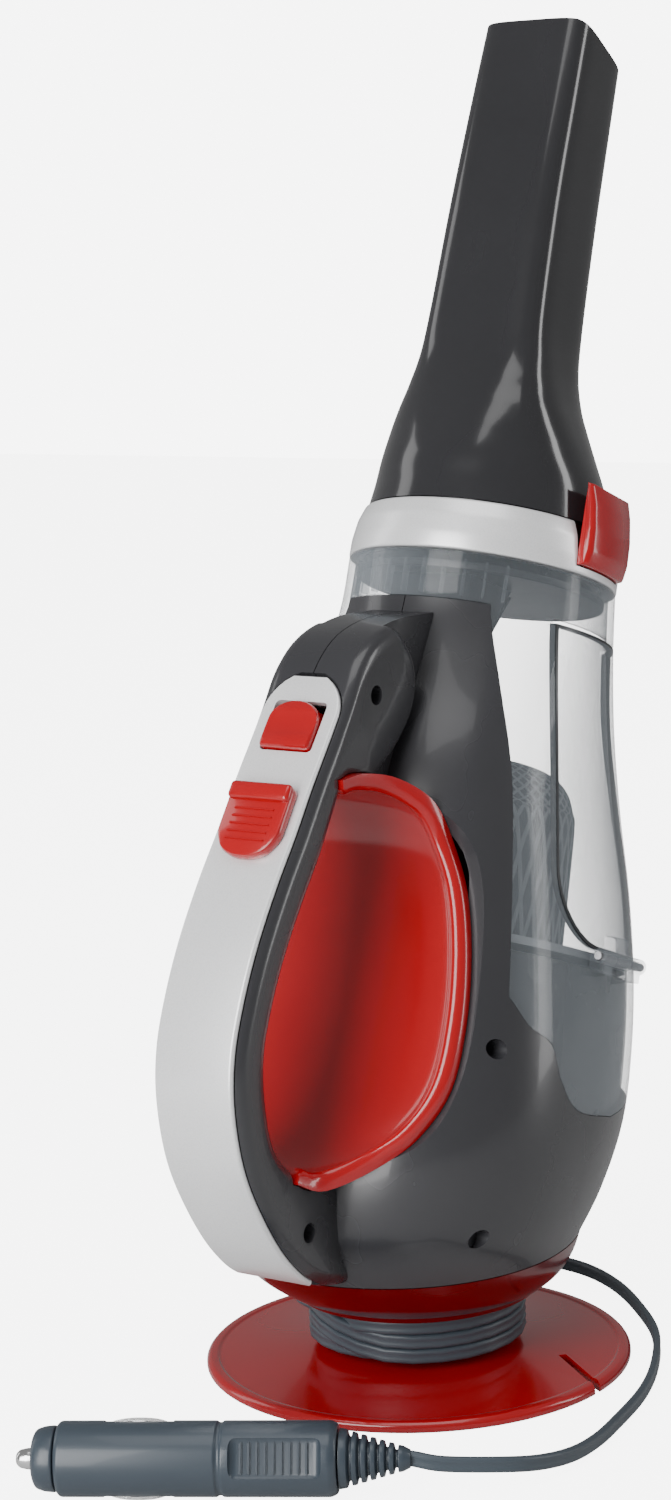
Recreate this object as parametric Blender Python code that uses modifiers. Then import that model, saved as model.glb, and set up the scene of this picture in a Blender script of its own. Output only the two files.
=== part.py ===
"""Handheld 12 V car vacuum, standing on its base disc with its flat cord wound round the hub.

Metres, +Z up. The origin is the centre of the base disc's underside. The handle is on the -X side
and the body leans towards +X. Lengths below are in millimetres and are turned to metres by MM.
"""

import math

import bpy
import bmesh
from mathutils import Matrix, Vector

MM = 0.001
GAP = 0.3                # clearance between touching pieces
WALL = 2.6               # moulded shell wall

# Base
DISC_RADIUS = 66.0
DISC_RIM = 3.0           # thickness at the rim
DISC_RISE = 5.0          # how much the disc rises from rim to hub
HUB_RADIUS = 14.0
HUB_TOP = 23.2
NOTCH_WIDTH = 2.6
CAP_FLOOR = 3.0
CAP_HEIGHT = 18.4
CORD_WIDTH = 4.6
CORD_THICK = 2.4
WINDING_RADIUS = 34.0

# Upper tool: nozzle, ring and bowl share one leaning axis through the ring
RING_CENTRE = (52.0, 237.5)
TOOL_LEAN = math.radians(20.0)
RING_RADIUS = 42.0
RING_HEIGHT = 16.4
COLLAR_DROP = 15.0       # clear collar below the ring
BOWL_WALL = 2.2
SPINE_FACE = -33.5       # front face of the body's spine, across the tool axis
SEAT_LEVEL = -117.0      # filter seat, along the tool axis
NOZZLE_END = 175.0
NOZZLE_WALL = 2.4
CATCH_TURN = math.radians(89.0)
CATCH_WIDTH = 26.0
CATCH_TRAVEL = 1.0
DOOR_LEVEL = -111.5      # lower edge of the door
DOOR_ANGLE = 95.0

# Handle
BAR_HALF = 15.5
STRIP_HALF = 13.2
STRIP_PROUD = 0.7
STRIP_DEPTH = 1.3
BUTTON_SIZE = (17.0, 15.5)
SLIDER_SIZE = (21.0, 23.0)
SLIDER_TRAVEL = 5.0
BUTTON_TRAVEL = 2.5
LINER_THICK = 2.6

# Fan and motor, on an axis beside the tool axis
STACK_OFFSET = 8.0
FAN_RADIUS = 33.0
FAN_HOUSING_RADIUS = 39.0
MOTOR_RADIUS = 18.0
SHAFT_RADIUS = 1.6
FILTER_OFFSET = 18.0
FILTER_RADIUS = 33.0
FILTER_HEIGHT = 58.0

# Plug
PLUG_TIP = (-149.0, 39.0)
PLUG_HEADING = math.radians(-61.5)
PLUG_AXIS_HEIGHT = 11.5
PLUG_RADIUS = 10.5
PLUG_LENGTH = 79.0
RELIEF_LENGTH = 20.0

# (x, z, lean in degrees, front, rear, half width, squareness of the rear)
BODY_SECTIONS = [
    (-6.0, 42.0, 0.0, 59.0, 54.0, 53.0, 2.0),
    (-3.0, 56.0, 3.0, 66.0, 63.0, 58.0, 2.3),
    (3.0, 76.0, 6.0, 70.0, 66.5, 61.8, 2.6),
    (10.0, 98.0, 9.0, 70.5, 67.0, 61.5, 2.6),
    (18.0, 122.0, 12.0, 69.5, 65.0, 58.5, 2.6),
    (26.0, 148.0, 15.0, 65.0, 62.0, 54.0, 2.6),
    (34.0, 174.0, 17.0, 55.5, 58.0, 49.0, 2.6),
    (41.5, 198.0, 18.7, 46.5, 50.0, 45.5, 2.3),
    (47.5, 220.0, 20.0, 43.0, 44.0, 43.2, 2.0),
    (52.0, 237.5, 20.0, 42.0, 42.0, 42.0, 2.0),
]

# Handle: outer and inner edge of the bar in side view, from the foot up to the root
HANDLE_PAIRS = [
    ((-56.0, 42.3), (-45.0, 60.0)),
    ((-74.0, 47.5), (-57.0, 70.0)),
    ((-87.0, 58.0), (-67.0, 79.0)),
    ((-98.0, 73.0), (-81.0, 83.0)),
    ((-106.5, 90.0), (-91.5, 93.0)),
    ((-110.0, 108.0), (-95.0, 108.0)),
    ((-109.0, 123.0), (-94.5, 121.0)),
    ((-104.0, 137.0), (-90.5, 132.0)),
    ((-96.0, 152.0), (-83.5, 145.0)),
    ((-85.5, 167.0), (-73.5, 159.0)),
    ((-75.0, 180.0), (-63.5, 171.5)),
    ((-66.0, 192.0), (-56.5, 182.0)),
    ((-57.0, 203.0), (-50.0, 191.0)),
    ((-49.0, 213.0), (-43.0, 189.5)),
    ((-41.0, 223.5), (-33.0, 186.0)),
    ((-30.0, 230.5), (-20.0, 179.0)),
    ((-14.0, 233.5), (-6.0, 180.0)),
    ((6.0, 233.0), (8.0, 190.0)),
]

# Finger liner: its face in side view with the half width there, from the handle root down
LINER_FACE = [
    (-55.0, 190.0, 17.0), (-46.0, 190.5, 17.5), (-35.0, 187.5, 20.0), (-26.0, 180.0, 24.5),
    (-22.5, 169.0, 28.0), (-24.5, 156.0, 33.5), (-30.5, 139.0, 38.0), (-38.5, 120.0, 40.5),
    (-47.0, 103.0, 40.0), (-55.0, 91.0, 34.0), (-64.0, 83.0, 25.0), (-75.0, 79.5, 18.0),
    (-84.0, 83.5, 16.5),
]

# Boundary between bowl and body in side view, below the collar and down to the front
BOWL_FOOT = [
    (-24.2, 126.0), (-20.0, 116.5), (-13.0, 109.5), (-11.0, 98.0), (-4.0, 87.5), (16.0, 80.5),
    (100.0, 74.0),
]

BODY_SCREWS = [(-34.0, 214.0), (-32.0, 112.0), (-41.0, 57.0), (-79.0, 65.0)]

# The free run of the cord, from the winding round to the plug
CORD_ROUTE = [
    (0.0, 37.0, 13.5), (14.0, 38.0, 12.8), (30.0, 38.5, 11.0), (46.0, 38.0, 8.6), (62.0, 35.5, 6.2),
    (76.0, 30.0, 4.0), (87.0, 20.0, 2.7), (91.0, 6.0, 2.4), (88.0, -11.0, 2.4), (78.0, -28.0, 2.4),
    (62.0, -45.0, 2.4), (44.0, -60.0, 2.4), (21.0, -72.0, 2.4), (-2.0, -80.0, 2.4),
    (-27.0, -84.5, 2.4), (-42.0, -86.5, 2.8), (-56.0, -87.0, 4.0), (-69.0, -85.0, 6.0),
    (-80.0, -80.0, 8.2),
]


def tool_point(u, v, w):
    """A point given across (u), sideways (v) and along (w) the leaning tool axis."""
    x = RING_CENTRE[0] + u * math.cos(TOOL_LEAN) + w * math.sin(TOOL_LEAN)
    z = RING_CENTRE[1] - u * math.sin(TOOL_LEAN) + w * math.cos(TOOL_LEAN)
    return Vector((x, v, z))


def tool_matrix(u=0.0, v=0.0, w=0.0, turn=0.0):
    """Local frame with Z along the tool axis, its origin at the tool point."""
    place = Matrix.Translation(tool_point(u, v, w) * MM)
    return place @ Matrix.Rotation(TOOL_LEAN, 4, "Y") @ Matrix.Rotation(turn, 4, "Z")


def plug_matrix(distance):
    """Local frame with Z along the plug, at a distance from the tip towards the cord."""
    heading = Vector((math.cos(PLUG_HEADING), math.sin(PLUG_HEADING), 0.0))
    start = Vector((PLUG_TIP[0], PLUG_TIP[1], PLUG_AXIS_HEIGHT)) + heading * distance
    return Matrix.Translation(start * MM) @ heading.to_track_quat("Z", "Y").to_matrix().to_4x4()


# ---------------------------------------------------------------- building blocks

def make_collection(name):
    collection = bpy.data.collections.new(name)
    bpy.context.scene.collection.children.link(collection)
    return collection


def make_material(name, colour, roughness, metallic=0.0, alpha=1.0):
    material = bpy.data.materials.new(name)
    material.use_nodes = True
    shader = material.node_tree.nodes["Principled BSDF"]
    shader.inputs["Base Color"].default_value = (*colour, 1.0)
    shader.inputs["Roughness"].default_value = roughness
    shader.inputs["Metallic"].default_value = metallic
    shader.inputs["Alpha"].default_value = alpha
    return material


def add_object(name, mesh, material=None, matrix=None):
    """Link a mesh as a part when it has a material, and as a hidden cutter when it has none."""
    piece = bpy.data.objects.new(name, mesh)
    if matrix is not None:
        piece.matrix_world = matrix
    if material is None:
        CUTTERS.objects.link(piece)
        piece.hide_render = True
        piece.display_type = "WIRE"
    else:
        PARTS.objects.link(piece)
        mesh.materials.clear()
        mesh.materials.append(material)
    return piece


def mesh_from(bm, name):
    bmesh.ops.recalc_face_normals(bm, faces=bm.faces)
    mesh = bpy.data.meshes.new(name)
    bm.to_mesh(mesh)
    bm.free()
    return mesh


def loft(name, rings, material=None, matrix=None, closed=False):
    """Skin a run of equal rings of points in millimetres, capped at both ends or joined round."""
    bm = bmesh.new()
    loops = [[bm.verts.new(Vector(point) * MM) for point in ring] for ring in rings]
    pairs = list(zip(loops, loops[1:]))
    if closed:
        pairs.append((loops[-1], loops[0]))
    for low, high in pairs:
        for i in range(len(low)):
            j = (i + 1) % len(low)
            bm.faces.new((low[i], low[j], high[j], high[i]))
    if not closed:
        bm.faces.new(list(reversed(loops[0])))
        bm.faces.new(loops[-1])
    return add_object(name, mesh_from(bm, name), material, matrix)


def turned(name, profile, material=None, matrix=None, steps=32, ring=False):
    """A turned piece: (radius, height) points down the outer side; a ring joins its ends."""
    mesh = bpy.data.meshes.new(name)
    points = [(r * MM, 0.0, z * MM) for r, z in profile]
    edges = [(i, i + 1) for i in range(len(points) - 1)]
    if ring:
        edges.append((len(points) - 1, 0))
    mesh.from_pydata(points, edges, [])
    piece = add_object(name, mesh, material, matrix)
    screw = piece.modifiers.new("Turn", "SCREW")
    screw.steps = steps
    screw.render_steps = steps
    screw.use_merge_vertices = True
    screw.merge_threshold = 0.00001
    return freeze(piece)


def box(name, low, high, material=None, matrix=None):
    bm = bmesh.new()
    bmesh.ops.create_cube(bm, size=1.0)
    low, high = Vector(low), Vector(high)
    for vertex in bm.verts:
        for axis in range(3):
            share = vertex.co[axis] + 0.5
            vertex.co[axis] = (low[axis] + (high[axis] - low[axis]) * share) * MM
    return add_object(name, mesh_from(bm, name), material, matrix)


def cylinder(name, radius, low, high, material=None, matrix=None, top_radius=None, steps=24):
    """A cylinder or cone along the local Z from low to high."""
    bm = bmesh.new()
    bmesh.ops.create_cone(
        bm, cap_ends=True, segments=steps, radius1=radius * MM,
        radius2=(radius if top_radius is None else top_radius) * MM, depth=(high - low) * MM)
    bmesh.ops.translate(bm, verts=bm.verts, vec=(0.0, 0.0, (low + high) / 2 * MM))
    return add_object(name, mesh_from(bm, name), material, matrix)


def across(x, z):
    """Local frame at a point in side view whose Z runs along +Y."""
    return Matrix.Translation(Vector((x, 0.0, z)) * MM) @ Matrix.Rotation(math.radians(-90), 4, "X")


def slab(name, outline, low, high, material=None, lean=False):
    """A flat outline in side view, given a thickness along Y from low to high."""
    rings = []
    for y in (low, high):
        if lean:
            rings.append([tool_point(u, y, w) for u, w in outline])
        else:
            rings.append([(x, y, z) for x, z in outline])
    return loft(name, rings, material)


def freeze(piece):
    """Replace a piece's mesh by its evaluated one and drop its modifiers."""
    bpy.context.view_layer.update()
    graph = bpy.context.evaluated_depsgraph_get()
    mesh = bpy.data.meshes.new_from_object(piece.evaluated_get(graph))
    piece.modifiers.clear()
    piece.data = mesh
    return piece


def combine(piece, other, operation="DIFFERENCE"):
    step = piece.modifiers.new(other.name, "BOOLEAN")
    step.operation = operation
    step.object = other
    step.solver = "EXACT"
    return piece


def copy_piece(piece, name, material):
    return add_object(name, piece.data.copy(), material, piece.matrix_world.copy())


def unit(vector):
    return Vector(vector).normalized()


def smooth(points, steps):
    """Catmull-Rom points through the given ones, with this many steps between each two."""
    points = [Vector(p) for p in points]
    ends = [2 * points[0] - points[1]] + points + [2 * points[-1] - points[-2]]
    result = []
    for i in range(1, len(ends) - 2):
        a, b, c, d = ends[i - 1:i + 3]
        for k in range(steps):
            t = k / steps
            result.append(0.5 * (2 * b + (c - a) * t + (2 * a - 5 * b + 4 * c - d) * t ** 2
                                 + (3 * b - a - 3 * c + d) * t ** 3))
    result.append(points[-1])
    return result


# ---------------------------------------------------------------- body outline

def section_ring(section, inset, count=36):
    """One closed section of the egg, its wall moved inwards by the inset."""
    x, z, lean, front, rear, half, square = section
    lean = math.radians(lean)
    ring = []
    for k in range(count):
        angle = 2 * math.pi * k / count
        c, s = math.cos(angle), math.sin(angle)
        power = 2.0 if c > 0 else square
        reach = (front if c > 0 else rear) - inset
        across_x = math.copysign(abs(c) ** (2 / power), c) * reach
        side = math.copysign(abs(s) ** (2 / power), s) * (half - inset)
        ring.append((x + across_x * math.cos(lean), side, z - across_x * math.sin(lean)))
    return ring


def egg(name, insets, material=None, stretch=0.0):
    """The egg with one inset for each section; stretch lengthens both ends."""
    sections = list(BODY_SECTIONS)
    rings = [section_ring(section, inset) for section, inset in zip(sections, insets)]
    if stretch:
        first = [(x, y, z - stretch) for x, y, z in rings[0]]
        rise = Vector((math.sin(TOOL_LEAN), 0.0, math.cos(TOOL_LEAN))) * stretch
        last = [tuple(Vector(point) + rise) for point in rings[-1]]
        rings = [first] + rings + [last]
    return loft(name, rings, material)


def bar_ring(outer, inner, half, corner, outer_inset=0.0, inner_inset=0.0):
    """Rounded rectangle across the bar, between its outer and inner edge in side view."""
    outer, inner = Vector(outer), Vector(inner)
    run = unit(outer - inner)
    outer = outer - run * outer_inset
    inner = inner + run * inner_inset
    depth = (outer - inner).length / 2
    middle = (outer + inner) / 2
    ring = []
    for quadrant, (front, side) in enumerate(((1, 1), (-1, 1), (-1, -1), (1, -1))):
        for step in range(4):
            angle = math.radians(90 * quadrant + 30 * step)
            n = front * (depth - corner) + corner * math.cos(angle)
            y = side * (half - corner) + corner * math.sin(angle)
            place = middle + run * n
            ring.append((place.x, y, place.y))
    return ring


def outer_path(steps=3):
    return smooth([Vector(outer) for outer, inner in HANDLE_PAIRS], steps)


def strip_frame(height):
    """Point, tangent and outward normal of the bar's outer edge at a height in side view."""
    path = outer_path(8)
    near = min(range(1, len(path) - 1), key=lambda i: abs(path[i].y - height) + (path[i].x > -40) * 99)
    tangent = unit(path[near + 1] - path[near - 1])
    return path[near], tangent, Vector((-tangent.y, tangent.x))


def strip_matrix(height):
    """Local frame on the bar's outer edge: X along Y, Y up the bar, Z outwards."""
    point, tangent, normal = strip_frame(height)
    matrix = Matrix((
        (0.0, tangent.x, normal.x, point.x * MM),
        (-1.0, 0.0, 0.0, 0.0),
        (0.0, tangent.y, normal.y, point.y * MM),
        (0.0, 0.0, 0.0, 1.0)))
    return matrix


def strip_piece(name, half, inside, outside, low, high, material=None):
    """A flat band along the bar's outer edge between two heights."""
    path = [p for p in outer_path(2)]
    rings = []
    for i in range(1, len(path) - 1):
        if not low <= path[i].y <= high or path[i].x > -44:
            continue
        tangent = unit(path[i + 1] - path[i - 1])
        normal = Vector((-tangent.y, tangent.x))
        top = path[i] + normal * outside
        under = path[i] - normal * inside
        rings.append([(top.x, half, top.y), (top.x, -half, top.y),
                      (under.x, -half, under.y), (under.x, half, under.y)])
    return loft(name, rings, material)


def bowl_zone(name, grow, low=-95.0, high=95.0):
    """The side-view region that the bowl takes, moved outwards by grow, as a cutter along Y."""
    top = -COLLAR_DROP - grow
    face = SPINE_FACE - grow
    outline = [tool_point(-80.0, 0.0, top), tool_point(face, 0.0, top)]
    outline = [(p.x, p.z) for p in outline]
    foot = [(x - 0.7 * grow, z - 0.7 * grow) for x, z in BOWL_FOOT]
    outline += foot
    outline += [(120.0, 330.0), (-40.0, 330.0)]
    return slab(name, outline, low, high)


def below_level(name, level, depth=90.0):
    """Everything below a level on the tool axis, as a cutter."""
    return slab(name, [(-130, level - depth), (150, level - depth), (150, level), (-130, level)],
                -99, 99, lean=True)


def half_space(name, sign):
    low = (-200.0, GAP / 2, -20.0) if sign > 0 else (-200.0, -120.0, -20.0)
    high = (200.0, 120.0, 460.0) if sign > 0 else (200.0, -GAP / 2, 460.0)
    return box(name, low, high)


# ---------------------------------------------------------------- body shells

def make_body():
    outer = egg("egg_outer", [0.0] * 10)
    handle = loft("handle_outer", [bar_ring(o, i, BAR_HALF, 5.0) for o, i in HANDLE_PAIRS])
    combine(outer, handle, "UNION")
    shell = freeze(outer)

    step = BOWL_WALL + 2 * GAP + 2.8     # leaves a full wall behind the bowl's step
    thin = [WALL, WALL, step, step, step, WALL, WALL, WALL, WALL, WALL]
    cavity = egg("egg_cavity", thin, stretch=3.0)
    keep_out = bowl_zone("zone_wall", GAP / 2 + 2.4)
    combine(keep_out, below_level("under_seat_wall", SEAT_LEVEL - 2.4))
    combine(cavity, freeze(keep_out))
    bar_cavity = loft("bar_cavity", [bar_ring(o, i, BAR_HALF - 2.4, 2.8, 3.6, 2.4)
                                     for o, i in HANDLE_PAIRS[1:-1]])
    combine(cavity, bar_cavity, "UNION")
    cavity = freeze(cavity)
    for k, (x, z) in enumerate(BODY_SCREWS):
        boss = cylinder("boss_%d" % k, 4.4, -80, 80, matrix=across(x, z))
        combine(cavity, boss)
    cavity = freeze(cavity)

    combine(shell, cavity)
    shell = freeze(shell)

    # The bowl's space: the chamber above the seat, and a step under the skirt below it
    core = egg("skirt_core", [BOWL_WALL + 2 * GAP] * 10, stretch=1.0)
    combine(core, below_level("under_seat", SEAT_LEVEL), "INTERSECT")
    space = bowl_zone("bowl_space", GAP / 2)
    combine(space, freeze(core))
    combine(shell, freeze(space))

    opening = slab("finger_opening", opening_outline(), -70, 70)
    combine(shell, opening)
    air = cylinder("air_hole", 22.0, -6.0, 6.0, matrix=tool_matrix(FILTER_OFFSET, 0, SEAT_LEVEL))
    combine(shell, air)
    recess = strip_piece("strip_recess", STRIP_HALF + GAP, STRIP_DEPTH + GAP, 4.0, 46.0, 216.0)
    combine(shell, recess)
    button = box("button_window", (-9.0, -8.25, -8.0), (9.0, 8.25, 4.0), matrix=strip_matrix(207.0))
    combine(shell, button)
    slot = box("slider_slot", (-5.4, -6.0, -8.0), (5.4, 11.0, 4.0), matrix=strip_matrix(181.0))
    combine(shell, slot)
    vent_cuts(shell)
    shell = freeze(shell)

    for side, sign in (("left", 1), ("right", -1)):
        half = copy_piece(shell, "body_shell_" + side, CHARCOAL)
        combine(half, half_space("space_" + side, sign), "INTERSECT")
        for k, (x, z) in enumerate(BODY_SCREWS):
            reach = SCREW_REACH[k]
            hole = cylinder("hole_%s_%d" % (side, k), 1.9, -12.0, 12.0, matrix=across(x, z), steps=12)
            combine(half, hole)
            if sign < 0:
                head = cylinder("recess_%d" % k, 2.9, -reach - 12, -9.0, matrix=across(x, z), steps=16)
                combine(half, head)
        freeze(half)
    bpy.data.objects.remove(shell)


SCREW_REACH = [15.5, 50.0, 50.0, 15.5]


def vent_cuts(shell):
    """Exhaust slots low on both sides of the body."""
    for k in range(5):
        x = -4.0 + 9.0 * k
        slot = box("vent_%d" % k, (x - 1.5, -80.0, 54.0), (x + 1.5, 80.0, 70.0))
        combine(shell, slot)


def opening_outline():
    """The hole that the liner lines, a gap outside the liner's back, closed beside the bar."""
    back = [Vector(p) for p in liner_line(LINER_THICK + GAP)]
    first, last = back[0], back[-1]
    outline = [first + Vector((-GAP * 2, 0.0))] + back + [last + Vector((-GAP * 2, 0.0))]
    outline += [Vector(p) for p in ((-86.0, 92.0), (-89.0, 106.0), (-89.0, 120.0), (-84.5, 132.0),
                                    (-77.0, 146.0), (-67.0, 160.0), (-58.0, 172.0), (-54.5, 181.0))]
    return [(p.x, p.y) for p in outline]


def liner_line(offset):
    """The liner's face line in side view, moved backwards into the body by the offset."""
    face = [Vector((x, z)) for x, z, half in LINER_FACE]
    line = []
    for i, point in enumerate(face):
        a = face[max(i - 1, 0)]
        b = face[min(i + 1, len(face) - 1)]
        tangent = unit(b - a)
        line.append(point + Vector((-tangent.y, tangent.x)) * offset)
    return line


def make_liner():
    face, back = liner_line(0.0), liner_line(LINER_THICK)
    rings = []
    for (x, z, half), f, b in zip(LINER_FACE, face, back):
        rings.append([(f.x, half, f.y), (f.x, -half, f.y), (b.x, -half, b.y), (b.x, half, b.y)])
    loft("finger_liner", rings, RED)


# ---------------------------------------------------------------- base, cap and cord

CAP_SECTIONS = [
    (0.0, 23.6, 0.0, 37.0, 37.0, 37.0, 2.0),
    (-0.5, 26.8, 0.0, 42.5, 42.0, 42.0, 2.0),
    (-2.0, 31.0, 0.0, 49.0, 47.0, 47.0, 2.0),
    (-4.0, 36.0, 0.0, 55.0, 51.0, 50.5, 2.0),
    (-6.0, 41.7, 0.0, 59.0, 54.0, 53.0, 2.0),
]


def make_base():
    rim = DISC_RADIUS
    profile = [(2.4, HUB_TOP), (HUB_RADIUS, HUB_TOP), (HUB_RADIUS, DISC_RIM + DISC_RISE),
               (rim - 2.0, DISC_RIM + 0.2), (rim - 0.5, DISC_RIM - 0.2), (rim, DISC_RIM - 0.9),
               (rim, 0.7), (rim - 0.6, 0.0), (4.4, 0.0), (4.4, 3.6), (2.4, 3.6)]
    disc = turned("base_disc", profile, RED, steps=48, ring=True)
    notch = at((2.5, -57.0)) @ Matrix.Rotation(math.radians(-124.0), 4, "Z")
    combine(disc, box("cord_notch", (-13.5, -NOTCH_WIDTH / 2, -5), (30.0, NOTCH_WIDTH / 2, 15),
                      matrix=notch))
    freeze(disc)

    rings = [section_ring(section, 0.0, 32) for section in CAP_SECTIONS]
    cap = loft("end_cap", rings, RED)
    floor = (CAP_SECTIONS[1][0], CAP_SECTIONS[0][1] + CAP_FLOOR) + CAP_SECTIONS[1][2:]
    hollow = [section_ring(section, WALL, 32) for section in [floor] + CAP_SECTIONS[2:]]
    hollow.append([(x, y, z + 3.0) for x, y, z in hollow[-1]])
    combine(cap, loft("cap_hollow", hollow))
    combine(cap, cylinder("cap_pilot", 2.3, 20.0, 30.0, steps=16))
    combine(cap, cylinder("cap_gland", 4.1, 20.0, 30.0, matrix=at(GROMMET), steps=16))
    freeze(cap)

    screw = [(0.0, 31.0), (2.0, 30.0), (2.0, 3.3), (4.1, 3.3), (4.1, 0.0), (0.0, 0.0)]
    turned("base_screw", screw, STEEL, steps=16)
    gland = [(5.2, 28.6), (5.2, 27.0), (3.7, 27.0), (3.7, 23.3), (1.6, 23.3), (1.6, 28.6)]
    turned("cord_grommet", gland, RUBBER, at(GROMMET), steps=16, ring=True)

    inner, outer = HUB_RADIUS + 2 * GAP, WINDING_RADIUS
    low, high = HUB_TOP - GAP - 3 * CORD_WIDTH, HUB_TOP - GAP
    turned("cord_winding", [(outer, high), (outer, low), (inner, low), (inner, high)],
           CORD, steps=40, ring=True)
    cord_tube("cord_free", free_cord_points(), CORD_THICK / 2, CORD)


GROMMET = (-13.0, 13.0)


def at(place, z=0.0):
    return Matrix.Translation(Vector((place[0], place[1], z)) * MM)


def free_cord_points():
    """The route through its own points, then down the axis of the plug's strain relief."""
    end = plug_matrix(PLUG_LENGTH + 12.0 + RELIEF_LENGTH + GAP).translation / MM
    heading = Vector((math.cos(PLUG_HEADING), math.sin(PLUG_HEADING), 0.0))
    lead_in = end + heading * 9.0 - Vector((0.0, 0.0, 1.6))
    return smooth(list(CORD_ROUTE) + [lead_in, end], 2)


def cord_tube(name, points, radius, material):
    """A tube on a smooth run of points."""
    curve = bpy.data.curves.new(name, "CURVE")
    curve.dimensions = "3D"
    curve.bevel_depth = radius * MM
    curve.bevel_resolution = 2
    curve.use_fill_caps = True
    spline = curve.splines.new("POLY")
    spline.points.add(len(points) - 1)
    for target, point in zip(spline.points, points):
        target.co = (*(Vector(point) * MM), 1.0)
    tube = bpy.data.objects.new(name, curve)
    PARTS.objects.link(tube)
    curve.materials.append(material)
    return tube


# ---------------------------------------------------------------- bowl, door, ring and nozzle

DOOR_LEFT = -17.0
DOOR_TOP_RIGHT = 30.0
DOOR_FOOT_RIGHT = 50.0
DOOR_CORNER = 22.0
HINGE_PLACE = (-60.6, -113.6)     # sideways and along the tool axis
HINGE_SPAN = (0.0, 8.2, 17.8, 26.0)


def door_outline(grow):
    """The door in the tool's side view, moved outwards by grow."""
    left, right = DOOR_LEFT - grow, DOOR_FOOT_RIGHT + grow
    top, foot = -COLLAR_DROP - 1.5 + grow, DOOR_LEVEL - grow
    radius = DOOR_CORNER
    outline = [(DOOR_TOP_RIGHT + grow, top), (left, top)]
    for k in range(7):
        angle = math.radians(180 + 15 * k)
        outline.append((left + radius + radius * math.cos(angle),
                        foot + radius + radius * math.sin(angle)))
    for k in range(4):
        angle = math.radians(270 + 30 * k)
        outline.append((right - 8 + 8 * math.cos(angle), foot + 8 + 8 * math.sin(angle)))
    return outline


def hinge_matrix():
    """Local frame on the door's hinge with Z along the pin, across the tool."""
    place = Matrix.Translation(tool_point(0.0, HINGE_PLACE[0], HINGE_PLACE[1]) * MM)
    turn = Matrix.Rotation(TOOL_LEAN, 4, "Y") @ Matrix.Rotation(math.radians(90), 4, "Y")
    return place @ turn


def knuckle(piece, name, low, high):
    """A hinge knuckle joined to a wall by a short web."""
    v, w = HINGE_PLACE
    combine(piece, cylinder(name, 2.4, low, high, matrix=hinge_matrix(), steps=16), "UNION")


def make_bowl():
    shell = egg("bowl_outer", [0.0] * 10)
    combine(shell, egg("bowl_inner", [BOWL_WALL] * 10, stretch=4.0))
    combine(shell, bowl_zone("zone_bowl", -GAP / 2), "INTERSECT")
    combine(shell, below_level("bowl_top", -GAP, 130.0), "INTERSECT")
    shell = freeze(shell)

    door = copy_piece(shell, "bowl_door", CLEAR)
    combine(door, slab("door_inside", door_outline(-0.2), -95, -6, lean=True), "INTERSECT")
    bowl = copy_piece(shell, "dust_bowl", CLEAR)
    combine(bowl, slab("door_outside", door_outline(GAP), -95, -6, lean=True))
    trim = slab("door_gap", [(DOOR_LEFT - 1, -COLLAR_DROP - 2.2), (DOOR_TOP_RIGHT + 1, -COLLAR_DROP - 2.2),
                             (DOOR_TOP_RIGHT + 1, -COLLAR_DROP - GAP), (DOOR_LEFT - 1, -COLLAR_DROP - GAP)],
                -95, -6, lean=True)
    combine(bowl, trim)
    a, b, c, d = HINGE_SPAN
    seat = hinge_matrix()
    for piece, spans, clear in ((door, ((b + GAP, c - GAP),), ((a - 1, b + 0.1), (c - 0.1, d + 1))),
                                (bowl, ((a, b), (c, d)), ((b - 0.1 + GAP / 2, c + 0.1 - GAP / 2),))):
        for k, (low, high) in enumerate(clear):
            combine(piece, cylinder("%s_clear_%d" % (piece.name, k), 3.0, low, high, matrix=seat, steps=16))
        for k, (low, high) in enumerate(spans):
            knuckle(piece, "%s_knuckle_%d" % (piece.name, k), low, high)
            blocks = BOWL_WEB if piece is bowl else DOOR_WEB
            for n, block in enumerate(blocks):
                combine(piece, hinge_web("%s_web_%d_%d" % (piece.name, k, n), low, high, *block), "UNION")
        combine(piece, cylinder(piece.name + "_pin_hole", 1.5, a - 5, d + 5, matrix=seat, steps=12))
        freeze(piece)
    bpy.data.objects.remove(shell)
    cylinder("door_hinge_pin", 1.2, a - 1.0, d + 1.0, STEEL, seat, steps=12)


# Each block of a web: its inset, how far in from the hinge it goes, and its two levels
BOWL_WEB = [(0.0, 4.7, -5.0, 0.5)]
DOOR_WEB = [(0.0, 1.9, -0.5, 3.2), (0.5, 4.7, 2.6, 7.0)]


def hinge_web(name, low, high, inset, inwards, w_low, w_high):
    """A block from the knuckle back into its own wall."""
    v, w = HINGE_PLACE
    bm = bmesh.new()
    bmesh.ops.create_cube(bm, size=1.0)
    for vertex in bm.verts:
        u = low + inset if vertex.co.x < 0 else high - inset
        side = v - 0.6 + inset if vertex.co.y < 0 else v + inwards
        level = w + (w_low if vertex.co.z < 0 else w_high)
        vertex.co = tool_point(u, side, level) * MM
    return add_object(name, mesh_from(bm, name))


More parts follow.
